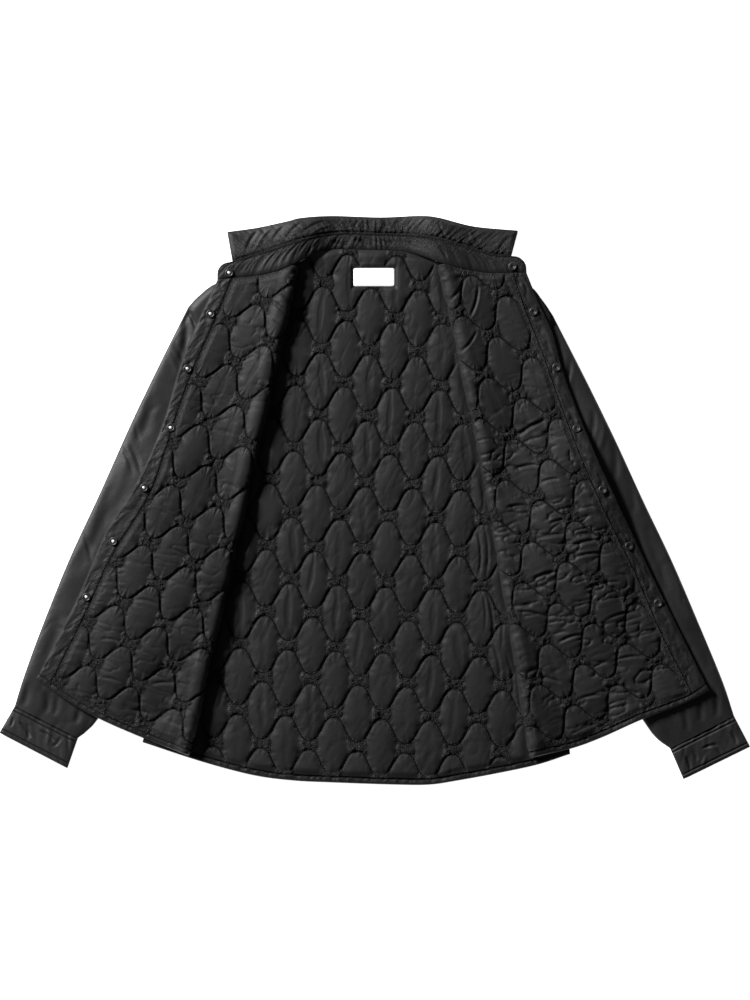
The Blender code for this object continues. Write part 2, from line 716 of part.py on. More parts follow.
def renumbered(flat, kept):
    """A set of triangles with its outline's points first, drawn in from the seam."""
    loop = loops_of(kept)
    order = loop + sorted(set(kept.reshape(-1)) - set(loop))
    number = {old: new for new, old in enumerate(order)}
    points = flat[order].copy()
    points[: len(loop)] = drawn_in(points[: len(loop)], SEAM_INSET)
    return points, np.array([[number[v] for v in f] for f in kept]), len(loop)


def lining(front, flat, faces):
    kept = faces[inside(flat[faces].mean(1), front.main)]
    points, tris, rim = renumbered(flat, kept)
    outline = points[:rim]
    closed = ring(outline)
    quilt, edges = quilt_points(front.plan(outline), front.name, QUILT_CLEAR)
    quilt = front.unroll(quilt)
    rows = front.fold_points(FOLD_ROW)
    under = grid_inside(outline, LINING_STEP, FOLD_ROW)
    under = under[front.past_fold(under) < -PAST_FOLD["lining"]]
    rows = rows[inside(rows, outline)]
    rows = rows[distance_to(rows, closed) > FOLD_CLEAR]
    keep = front.past_fold(quilt) > PAST_FOLD["quilt"]
    number = np.cumsum(keep) - 1
    edges = [(int(number[a]), int(number[b])) for a, b in edges if keep[a] and keep[b]]
    top = fill(outline, np.vstack([quilt[keep], rows, under]), edges)

    def over(p):
        turn = front.angle(p)
        full = puff(front.plan(p), front.name)
        full *= ease((turn - FILL_TURN) / (FULL_TURN - FILL_TURN))
        thick = STITCHED + (PUFFED - STITCHED) * full
        plain = ease((FULL_TURN - turn) / (FULL_TURN - PLAIN_TURN))
        thick = thick * (1 - plain) + PLAIN_FRONT * plain
        rim_ease = ease(distance_to(p, closed) / EDGE_EASE)
        thick = EDGE + (thick - EDGE) * rim_ease
        return front.lay(p, LINING + thick)

    wall(f"front_{front.name}_lining", "lining", (points, tris), top,
         lambda p: front.lay(p, np.full(len(p), LINING)), over, front.mirrored)


def facing(front, flat, faces):
    kept = faces[inside(flat[faces].mean(1), front.facing)]
    points, tris, _ = renumbered(flat, kept)
    wall(f"placket_{front.name}", "binding", (points, tris), (points, tris),
         lambda p: front.lay(p, np.full(len(p), LINING)),
         lambda p: front.lay(p, np.full(len(p), LINING + PLACKET)), front.mirrored)


def binding(front, flat, faces):
    kept = faces[inside(flat[faces].mean(1), front.binding)]
    points, tris, rim = renumbered(flat, kept)
    outline = points[:rim]
    top = fill(outline, ridge_of(outline))

    def over(p):
        return front.lay(p, hem_thickness(p, outline, HEM_EDGE))

    wall(f"hem_front_{front.name}", "binding", (points, tris), top,
         lambda p: front.lay(p, np.zeros(len(p))), over, front.mirrored)


def hem_thickness(points, outline, edge):
    """A hem binding's thickness: least at its edges, HEM_HEIGHT along its middle."""
    rise = ease(distance_to(points, ring(outline)) / (HEM_WIDTH * HEM_ROUND))
    return edge + (HEM_HEIGHT - edge) * rise


def ridge_of(outline):
    """Points along the middle of a hem binding, about its width apart."""
    clear, apart = 0.33 * HEM_WIDTH, 0.8 * HEM_WIDTH
    moved = drawn_in(outline, HEM_WIDTH * HEM_ROUND)
    chosen = []
    for point in moved[inside(moved, outline) & (distance_to(moved, ring(outline)) > clear)]:
        if all(np.linalg.norm(point - other) > apart for other in chosen):
            chosen.append(point)
    return np.array(chosen)


# ---------------------------------------------------------------- back

def back_outlines():
    sides = []
    for name in ("right", "left"):
        c = FRONTS[name]
        edge = [smooth_line(c[k], EDGE_STEP) for k in ("shoulder", "armhole")]
        sides.append(edge + [cut_end(smooth_line(c["side_seam"], EDGE_STEP), HEM_WIDTH)])
    right, left = sides
    neck = smooth_line(BACK_NECK, EDGE_STEP)
    hem = smooth_line(BACK_HEM, EDGE_STEP)
    inset = drawn_in_line(hem, HEM_WIDTH, right[2][-1], left[2][-1])
    main = chain(neck[::-1], *right, inset, *[line[::-1] for line in left[::-1]])
    strip = chain(np.vstack([right[2][-1:], hem, left[2][-1:]]), inset[::-1])
    return main, strip


def build_back(fronts):
    main, strip = back_outlines()
    outline = drawn_in(main, SEAM_INSET)
    plain = fill(outline, grid_inside(outline, BACK_STEP, BACK_CLEAR))

    def flat_at(height):
        return lambda p: np.column_stack([p, np.full(len(p), height)])

    wall("back_shell", "shell", plain, plain, flat_at(0.0), flat_at(SHELL))

    def shown(p):
        """1 where the folded fronts leave the back bare, falling to 0 under them."""
        bare = np.ones(len(p))
        for front in fronts:
            bare = np.minimum(bare, ease((BARE_END - front.unroll(p)[:, 0]) / BARE_EASE))
        return bare

    closed = ring(outline)
    quilt, edges = quilt_points(outline, "back", QUILT_CLEAR)
    centre = np.array(LABEL["centre"])
    bed_half = np.array(LABEL["size"]) / 2 + LABEL_BED["rim"]
    corners = centre + bed_half * [(-1, -1), (1, -1), (1, 1), (-1, 1)]
    sides = [spaced(np.array(ends), LABEL_STEP)
             for ends in zip(corners, np.roll(corners, -1, axis=0))]
    off_label = (np.abs(quilt - centre) > bed_half + LABEL_BED["margin"] / 2).any(1)
    keep = (shown(quilt) > LEAST_SHOWN) & off_label
    number = np.cumsum(keep) - 1
    edges = [(int(number[a]), int(number[b])) for a, b in edges if keep[a] and keep[b]]
    hidden = grid_inside(outline, HIDDEN_STEP, HIDDEN_CLEAR)
    covered = np.max([front.unroll(hidden)[:, 0] for front in fronts], axis=0)
    hidden = hidden[covered > UNDER_FRONT]
    rows = []
    for front in fronts:
        down = np.arange(FOLD_ROW, front.length - 2 * HEM_WIDTH, FOLD_ROW)
        rows.append(front.plan(np.column_stack([np.full(len(down), BARE_ROW), down])))
    top = fill(outline, np.vstack([quilt[keep], hidden, chain(*sides), *rows]), edges)

    def over(p):
        thick = STITCHED + (PUFFED - STITCHED) * puff(p, "back")
        bare = shown(p)
        thick = PLAIN_BACK + (thick - PLAIN_BACK) * bare
        off_bed = ease((np.abs(p - centre) - bed_half).max(1) / LABEL_BED["margin"])
        thick = LABEL_BED["thick"] + (thick - LABEL_BED["thick"]) * off_bed
        edge = PLAIN_BACK + (EDGE - PLAIN_BACK) * bare
        thick = edge + (thick - edge) * ease(distance_to(p, closed) / EDGE_EASE)
        return np.column_stack([p, Z_BACK + thick])

    wall("back_lining", "lining", plain, top, flat_at(Z_BACK), over)

    strip = drawn_in(strip, SEAM_INSET)
    wall("hem_back", "binding", fill(strip), fill(strip, ridge_of(strip)), flat_at(0.0),
         lambda p: np.column_stack([p, hem_thickness(p, strip, HEM_EDGE_BACK)]))


def build_label():
    """A plain rectangle sewn on the back lining, on the bed pressed flat for it."""
    shape = bmesh.new()
    bmesh.ops.create_cube(shape, size=1)
    bmesh.ops.scale(shape, vec=Vector((*LABEL["size"], LABEL["thick"])) * MM, verts=shape.verts)
    mesh = bpy.data.meshes.new("label")
    shape.to_mesh(mesh)
    shape.free()
    middle = Z_BACK + LABEL_BED["thick"] + GAP + LABEL["thick"] / 2
    link("label", mesh, "label").location = Vector((*LABEL["centre"], middle)) * MM


# ---------------------------------------------------------------- sleeves and cuffs

class Tube:
    """A flattened tube of cloth: open at its ends, folded along its sides."""

    def __init__(self, name, lines, height, base):
        """lines are (points, folded) in order round the outline."""
        self.name, self.height, self.base = name, height, base
        outline = chain(*[line for line, _ in lines])
        folded = np.concatenate([
            [True] + [is_folded] * (len(line) - 2) for line, is_folded in lines
        ])
        if area_of(outline) < 0:
            outline, folded = outline[::-1], folded[::-1]
        self.outline = drawn_in(outline, SEAM_INSET)
        self.folded = folded
        self.sides = [line for line, is_folded in lines if is_folded]

    def from_side(self, p):
        return np.min([distance_to(p, line) for line in self.sides], axis=0)

    def rounded(self, p):
        """0 at a folded side, 1 where the tube has its full height."""
        s = np.clip(self.from_side(p) / SLEEVE_EASE, 0, 1)
        return np.sqrt(1 - (1 - s) ** 2)

    def faces_at(self, p):
        """Heights of the upper and the under face at plan points."""
        base = self.base(p)
        top = base + EDGE_RISE + (self.height(p) - EDGE_RISE) * self.rounded(p)
        under = base + EDGE_RISE * (1 - ease(self.from_side(p) / UNDER_EASE))
        return top, under

    def build(self, rows):
        """The closed wall: outer face above and below, inner face above and below."""
        n = len(self.outline)
        inner_outline = drawn_in(self.outline, WALL)
        edge_rows = []
        for away in rows:
            row = drawn_in(self.outline, away)[self.folded]
            clear = distance_to(row, ring(self.outline)) > away * 0.9
            edge_rows.append(row[inside(row, self.outline) & clear])
        grid = grid_inside(self.outline, FACE_STEP, rows[-1] + UNDER_EASE)
        outer = fill(self.outline, np.vstack(edge_rows + [grid]))
        lining_outline = np.where(self.folded[:, None], inner_outline, self.outline)
        inner = fill(lining_outline, grid_inside(lining_outline, TUBE_INNER_STEP, FACE_CLEAR))
        top, under = self.faces_at(outer[0])
        middle = self.faces_at(self.outline)
        top[:n][self.folded] = middle[1][self.folded]
        points = [np.column_stack([outer[0], top]), np.column_stack([outer[0], under])]
        top_in, under_in = self.faces_at(inner[0])
        room = np.minimum(SLEEVE_GAP, (top_in - under_in) * AIR_SHARE)
        centre = (top_in + under_in) / 2
        high, low = centre + room / 2, centre - room / 2
        high[:n][self.folded] = centre[:n][self.folded]
        low[:n][self.folded] = centre[:n][self.folded]
        points += [np.column_stack([inner[0], high]), np.column_stack([inner[0], low])]
        start = np.cumsum([0] + [len(block) for block in points])
        a, b, c, d = start[:4]
        same = {}
        for i in range(n):
            if self.folded[i]:
                same[b + i] = a + i
                same[d + i] = c + i
        faces = [f + a for f in outer[1]] + [f[::-1] + b for f in outer[1]]
        faces += [f[::-1] + c for f in inner[1]] + [f + d for f in inner[1]]
        for i in range(n):
            j = (i + 1) % n
            if self.folded[i] and self.folded[j]:
                continue
            faces += [(a + j, a + i, c + i), (a + j, c + i, c + j)]
            faces += [(b + i, b + j, d + j), (b + i, d + j, d + i)]
        faces = [tuple(same.get(int(v), int(v)) for v in f) for f in faces]
        faces = [f for f in faces if len(set(f)) == 3]
        used = sorted({v for f in faces for v in f})
        number = {old: new for new, old in enumerate(used)}
        return make(self.name, np.vstack(points)[used],
                    [[number[v] for v in f] for f in faces], "shell")


def sleeve_of(front, body):
    """The sleeve's tube and its cuff's, as they lie beside and over the body."""
    c = front.c
    outer = smooth_line(c["sleeve_outer"], SIDE_STEP)
    inner = smooth_line(c["sleeve_inner"], SIDE_STEP)
    armhole = smooth_line(c["armhole"], EDGE_STEP)
    corner = np.array(c["cuff"], float)
    seam = spaced(corner[[0, 3]], SEAM_STEP)
    across = seam[-1] - seam[0]
    support = HeightMap()
    support.raise_inside(body, Z_BODY)
    below = support.points[:, 1] < c["armhole"][-1][1] + UNDERARM
    support.z = np.where(below.reshape(support.z.shape), support.z, 0)
    support.draped()

    def base(p):
        height = support.at(p)
        return np.where(height > NOTHING, height + SLEEVE_CLEAR, 0.0)

    def height(p):
        past_side = front.unroll(p)[:, 0] - front.unroll(c["side_seam"][1:2])[0, 0]
        tall = SLEEVE_UNDER + (SLEEVE_FREE - SLEEVE_UNDER) * ease(past_side / SHOWN_EASE)
        tall = Z_BODY + (tall - Z_BODY) * ease(distance_to(p, armhole) / ARMHOLE_EASE)
        from_cuff = distance_to(p, seam)
        place = (p - seam[0]) @ across / (across @ across)
        pleats = np.cos(2 * np.pi * GATHERS["count"] * place) * GATHERS["height"]
        tall = CUFF_HEIGHT + (tall - CUFF_HEIGHT) * ease(from_cuff / CUFF_EASE)
        return tall + pleats * np.exp(-from_cuff / GATHERS["fall"])

    lines = [(outer, True), (seam, False), (inner[::-1], True), (armhole[::-1], False)]
    cuff_lines = [(spaced(corner[[0, 1]], CUFF_SIDE_STEP), True),
                  (spaced(corner[[1, 2]], CUFF_END_STEP), False),
                  (spaced(corner[[2, 3]], CUFF_SIDE_STEP), True),
                  (seam[::-1], False)]
    return (Tube(f"sleeve_{front.name}", lines, height, base),
            Tube(f"cuff_{front.name}", cuff_lines, lambda p: np.full(len(p), CUFF_HEIGHT),
                 lambda p: np.zeros(len(p))))


# ---------------------------------------------------------------- collar

def collar_base(fronts):
    """What the collar rests on: it rises with the folded fronts at its two ends."""
    def base(p):
        height = np.zeros(len(p))
        for front in fronts:
            out = front.unroll(p)[:, 0]
            inner = ease((out + NECK_FALL) / NECK_FALL)
            held = np.where(front.base.at(p) > NOTHING, front.rest_height(p), 0)
            height = np.maximum(height, held * inner)
        return height
    return base


def build_collar(fronts):
    base = collar_base(fronts)
    right, left = (smooth_line(FRONTS[name]["neck"], EDGE_STEP) for name in ("right", "left"))
    back = smooth_line(BACK_NECK, EDGE_STEP)
    neck = np.vstack([right[:-1], back[:-1], left[::-1]])
    seam = smooth_line(LEAF_SEAM, EDGE_STEP)
    ends = {name: smooth_line(STAND_END[name], STAND_END_STEP) for name in STAND_END}
    stand = chain(right, back, left[::-1], ends["left"][::-1], seam[::-1], ends["right"][::-1])
    top = smooth_line(LEAF_TOP, EDGE_STEP)
    leaf = chain(seam, np.array([seam[-1], top[-1]]), top[::-1], np.array([top[0], seam[0]]))
    for name, outline, thick in (("collar_stand", stand, STAND_THICK),
                                 ("collar_leaf", leaf, LEAF_THICK)):
        if area_of(outline) < 0:
            outline = outline[::-1]
        at_neck = distance_to(outline, neck) < NOTHING
        outline = drawn_in(outline, np.where(at_neck, NECK_INSET, SEAM_INSET))
        row = drawn_in(outline, COLLAR_ROW)
        closed = ring(outline)
        row = row[inside(row, outline) & (distance_to(row, closed) > COLLAR_ROW - 1)]
        middle = grid_inside(outline, COLLAR_STEP, 2 * COLLAR_ROW + 2)
        flat = fill(outline, np.vstack([row, middle]))

        def over(p, thick=thick, closed=closed):
            from_edge = ease(distance_to(p, closed) / COLLAR_EASE)
            return np.column_stack([p, base(p) + COLLAR_EDGE + (thick - COLLAR_EDGE) * from_edge])

        def under(p):
            return np.column_stack([p, base(p)])

        wall(name, "shell", flat, flat, under, over)


# ---------------------------------------------------------------- snaps

def build_snap(name, half, centre, height, normal):
    """A snap half turned from its profile, standing on a slope with that normal."""
    profile = SNAP_PROFILE[half]
    mesh = bpy.data.meshes.new(name)
    mesh.from_pydata([(radius * MM, 0, z * MM) for radius, z in profile],
                     [(i, i + 1) for i in range(len(profile) - 1)], [])
    made = link(name, mesh, "snap")
    turned = made.modifiers.new("Turned", "SCREW")
    turned.steps = turned.render_steps = SNAP_SIDES
    turned.use_merge_vertices = True
    turned.merge_threshold = MERGE
    made.location = Vector((*centre, height)) * MM
    made.rotation_euler = Vector((0, 0, 1)).rotation_difference(Vector(normal)).to_euler()


def build_snaps(front, base):
    """The row of snap halves on a front's facing; the first is on the collar's stand."""
    turns = np.arange(SNAP_SIDES) * 2 * np.pi / SNAP_SIDES
    foot = np.column_stack([np.cos(turns), np.sin(turns)]) * SNAP_RADIUS
    half = "socket" if front.name == "left" else "post"
    for number, place in enumerate(front.c["snaps"], 1):
        around = foot + place
        if number == 1:
            heights = base(around) + STAND_THICK
        else:
            heights = front.surface_height(front.unroll(around)) + LINING + PLACKET
        slope = 2 * (foot * heights[:, None]).mean(0) / SNAP_RADIUS ** 2
        seat = (heights - foot @ slope).max()
        build_snap(f"snap_{front.name}_{number}", half, place, seat + GAP, (*-slope, 1.0))


# ---------------------------------------------------------------- assembly

def main():
    for old in list(bpy.data.objects):
        bpy.data.objects.remove(old, do_unlink=True)
    bpy.context.scene.collection.children.link(bpy.data.collections.new("overshirt"))
    fronts = [Front("right"), Front("left")]
    tubes = []
    for front in fronts:
        c = front.c
        body = chain(*[smooth_line(c[k], EDGE_STEP) for k in
                       ("shoulder", "armhole", "side_seam", "under_hem")],
                     np.array(c["fold"], float)[::-1])
        sleeve, cuff = sleeve_of(front, body)
        front.base = HeightMap()
        front.base.raise_inside(body, Z_BODY)
        front.base.raise_inside(sleeve.outline, lambda p: sleeve.faces_at(p)[0])
        front.base.draped()
        front.outlines()
        front.shared = front.carrier()
        tubes += [sleeve, cuff]
    build_back(fronts)
    build_label()
    for front in fronts:
        build_front(front)
    for tube in tubes:
        tube.build(TUBE_ROWS[tube.name.split("_")[0]])
    build_collar(fronts)
    base = collar_base(fronts)
    for front in fronts:
        build_snaps(front, base)


main()
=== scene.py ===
"""Looks of a quilted, insulated overshirt laid open on a table with its lining up.

Lengths are in millimetres until the meshes are made, X to the right of the laid garment,
Y towards the collar and Z up. "right" and "left" are the wearer's: the right front lies
at -X. Every cloth piece is a four-sided grid of points, worked out from its outline in
plan, from the height of the frame's solid and from the stitching and creases on it.
"""

import math

import bpy
import numpy as np
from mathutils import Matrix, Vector
from mathutils.bvhtree import BVHTree


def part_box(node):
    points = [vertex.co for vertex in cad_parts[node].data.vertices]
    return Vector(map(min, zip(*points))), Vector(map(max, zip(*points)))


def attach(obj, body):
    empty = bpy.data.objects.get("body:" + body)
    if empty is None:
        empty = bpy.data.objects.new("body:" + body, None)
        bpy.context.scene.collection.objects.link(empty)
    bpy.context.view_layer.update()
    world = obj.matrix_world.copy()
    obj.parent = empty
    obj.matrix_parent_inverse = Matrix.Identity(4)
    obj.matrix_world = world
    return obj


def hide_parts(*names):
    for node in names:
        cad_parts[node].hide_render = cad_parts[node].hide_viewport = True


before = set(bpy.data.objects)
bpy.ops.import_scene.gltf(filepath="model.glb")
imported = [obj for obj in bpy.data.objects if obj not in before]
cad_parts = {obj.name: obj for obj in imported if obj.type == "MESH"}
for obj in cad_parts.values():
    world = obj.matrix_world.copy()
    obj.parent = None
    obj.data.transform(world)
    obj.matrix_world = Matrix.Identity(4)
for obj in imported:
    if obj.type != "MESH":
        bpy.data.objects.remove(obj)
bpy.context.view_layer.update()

MM = 0.001
BODY = "root"

# Cloth thicknesses and gaps
SHELL = 1.2
GAP = 0.3
STITCHED = 1.7         # padded lining at a quilting stitch
PUFFED = 6.4           # and in the middle of a quilted cell
PLAIN_BACK = 4.0       # back lining where the fronts cover it
PLAIN_FRONT = 3.5      # front lining on the part that lies face down
PLACKET = 2.7
HEM_WIDTH = 8.5
HEM_HEIGHT = 5.0
HEM_EDGE = 3.2
EDGE_EASE = 10.0
EDGE = 3.0
LEAF_THICK = 4.4
STAND_THICK = 4.0
COLLAR_EDGE = 2.6
COLLAR_EASE = 6.0

# Facings: insets of their stitch lines, and direction and strength of their pulls
FACING_STITCH = {"cf": 4.2, "seam": 3.0}
FACING_PULLS = {"right": (40, 0.7), "left": (-62, 1.1)}
BACK_CORNER = 14.0     # stretch of the shoulder that the back's middle grid covers

# How the fronts fold over
FOLD_INSIDE = 4.5
FOLD_NEUTRAL = 7.5
PLAIN_TURN = -1.1
FILL_TURN = -1.0
FULL_TURN = -0.2
BARE_END = 3.0
BARE_EASE = 14.0
FOLD_BLEND = 16.0      # width over which the measured height meets the fold's
FOLD_PRESS = {"right": 0.08, "left": 0.5}    # share of the padding pressed out at a fold

# Sleeves and cuffs
SLEEVE_EASE = 26.0
FULLNESS = 4           # how flat a tube is between its rounded sides; 2 is an ellipse
EDGE_RISE = 4.0
UNDER_EASE = 9.0
CUFF_HEIGHT = 9.0
CUFF_TURN_IN = 14.0    # depth of the cuff's inside that shows at its mouth
CUFF_WALL = 2.4
CUFF_BAND = 6.0        # stitched band at the cuff's end
CUFF_SEAMS = (1.5, 7.0)    # stitch lines below the cuff's seam

# Worked out from these: heights over the table, apart from the ones that say otherwise
LINING = SHELL + GAP   # under face of a lining, over the shell's under face
Z_BACK = SHELL + GAP
Z_FIRST = Z_BACK + PLAIN_BACK + GAP
Z_BODY = Z_FIRST + LINING + PLAIN_FRONT
FOLD_OUTSIDE = FOLD_INSIDE + LINING + PLAIN_FRONT    # radius of the fold at its outside
FOLD_AXIS = Z_FIRST + FOLD_OUTSIDE
HALF_TURN = math.pi * FOLD_NEUTRAL    # length of cloth round the fold

# Quilting: waved stitch lines, each the mirror of the next
WAVE = 0.36            # height of a wave over its middle line, in rows
WAVE_ROUND = 0.07      # how much rounder its ends are than a cosine's
ROUNDNESS = 0.36
NARROWING = 0.55
QUILTING = {
    "back": dict(origin=(24, 120), along=(69.1, -2.4), down=(-1.5, -47.6), seed=11),
    "right": dict(origin=(-281.9, -134.0), along=(62.0, -31.0), down=(-20.2, -43.2), seed=23),
    "left": dict(origin=(272.9, -186.8), along=(62.6, 29.5), down=(18.6, -44.1), seed=37),
}
SNAP_BACK, SNAP_FRONT = 1.05, 1.1    # reach within which points move on to a stitch line
THINNEST = 0.6         # least thickness of a padded lining
THREAD_LIFT = STITCHED + 0.15
GROOVE = 1.5           # half width of the rounded groove along a stitch line
PIT_SHADE_RANGE = (0.40, 0.52)    # noise levels between the painted shade in the crinkles' hollows and the crinkles round them
STITCH_SHADE = (0.5, 1.7)    # from a line, where its dark crease starts and ends to fade
# Wrinkles of the quilted cloth: ray is the height of those that leave the stitches,
# dimple that of a cell's soft middle trough, cross that of the shallow waves and crease
# that of the sharp creases, which run at turn degrees and are faint above calm
WRINKLES = {
    "back": dict(ray=2.1, dimple=0.8, cross=0.2, crease=0.6, turn=62, calm=900),
    "right": dict(ray=2.1, dimple=0.3, cross=0.25, crease=1.1, turn=-16, calm=300),
    "left": dict(ray=2.2, dimple=0.3, cross=0.4, crease=2.9, turn=16, calm=120),
}
CALM_EASE = 130.0
CALM_SHARE = 0.2
RAY_LENGTH = 6.0
RAY_SPACING = 4.4
NECK_CRINKLE = (0.9, 2.4)    # height and size of the crinkles where two lines come close
NECK_WIDTH = (0.25, 0.78)    # rows between two lines where they are full and where they end

# Curves seen from above, as points of smooth lines
FRONTS = {
    "right": dict(
        side=-1,
        fold=[(-108, 343), (-266, -367)],
        bow=0.0,
        neck=[(-226, 317), (-197, 320), (-162, 324), (-132, 332), (-108, 343)],
        cf=[(-226, 317), (-257, 251), (-280, 193), (-307, 104), (-344, 22),
            (-385, -43), (-423, -131), (-455, -195), (-486, -256)],
        seam=[(-205, 319), (-231, 255), (-254, 203), (-280, 136), (-301, 68),
              (-326, 2), (-375, -77), (-417, -167), (-450, -234), (-462, -260)],
        hem=[(-486, -256), (-442, -288), (-397, -313), (-334, -341), (-266, -367)],
        shoulder=[(-108, 343), (-165, 330), (-226, 313), (-254, 293), (-269, 277)],
        armhole=[(-269, 277), (-249, 231), (-241, 159), (-257, 80), (-309, 18)],
        side_seam=[(-309, 18), (-319, -144), (-334, -348)],
        under_hem=[(-334, -348), (-301, -357), (-266, -367)],
        sleeve_outer=[(-269, 277), (-307, 201), (-349, 114), (-396, 9), (-440, -86),
                      (-481, -188), (-506, -257), (-518, -296)],
        sleeve_inner=[(-309, 18), (-272, -14), (-257, -74), (-293, -152),
                      (-352, -246), (-397, -313), (-414, -332), (-427, -342)],
        cuff=[(-518, -296), (-540, -334), (-442, -385), (-427, -342)],
        snaps=[(-209, 327), (-236, 268), (-269, 189), (-293, 104), (-331, 18),
               (-375, -59), (-414, -139)],
    ),
    "left": dict(
        side=1,
        fold=[(90, 343), (222, -370)],
        bow=8.0,
        neck=[(218, 327), (192, 327), (159, 327), (116, 335), (90, 343)],
        cf=[(218, 327), (234, 288), (255, 241), (275, 172), (313, 75), (346, 2),
            (394, -99), (441, -194), (480, -273)],
        seam=[(199, 324), (218, 268), (239, 216), (267, 137), (296, 61), (329, -15),
              (373, -103), (412, -193), (451, -268)],
        hem=[(480, -273), (444, -292), (383, -315), (326, -341), (281, -357),
             (222, -370)],
        shoulder=[(90, 343), (152, 332), (218, 311), (241, 288), (258, 263)],
        armhole=[(258, 263), (245, 216), (238, 152), (250, 75), (287, 15)],
        side_seam=[(287, 15), (286, -172), (281, -365)],
        under_hem=[(281, -365), (250, -368), (222, -370)],
        sleeve_outer=[(258, 263), (304, 173), (346, 87), (386, 0), (427, -86),
                      (464, -172), (500, -259), (517, -310)],
        sleeve_inner=[(287, 15), (252, -17), (239, -77), (283, -155), (336, -241),
                      (385, -315), (405, -342), (425, -357)],
        cuff=[(517, -310), (540, -354), (444, -401), (425, -357)],
        snaps=[(198, 336), (228, 271), (261, 191), (290, 103), (327, 15),
               (365, -66), (407, -148)],
    ),
}
BACK_NECK = [(-108, 343), (-73, 359), (-47, 361), (8, 360), (42, 358), (65, 353),
             (90, 343)]
BACK_HEM = [(-334, -348), (-252, -375), (-177, -395), (-119, -403), (-59, -406),
            (29, -409), (79, -409), (120, -403), (180, -392), (235, -380), (281, -365)]
LEAF_SEAM = [(-204, 342), (-152, 358), (-103, 374), (-53, 383), (8, 382), (59, 380),
             (109, 371), (167, 353), (196, 351)]
LEAF_TOP = [(-212, 386), (-169, 392), (-126, 401), (-105, 406), (-60, 409), (8, 407),
            (64, 409), (93, 406), (142, 394), (206, 388)]
STAND_END = {
    "right": [(-226, 317), (-225, 331), (-217, 340), (-204, 342)],
    "left": [(196, 351), (207, 349), (216, 341), (218, 327)],
}
GATHER_LEAN = 0.8      # slant of the collar's gathers, away from its middle
LABEL = dict(centre=(-1, 321), size=(59, 26), thick=0.7)
LABEL_BED = dict(thick=3.0, rim=1.0, margin=3.5)
LABEL_ROUND = 2.6      # radius of its corners
LABEL_SEAM = 1.7       # inset of its stitching

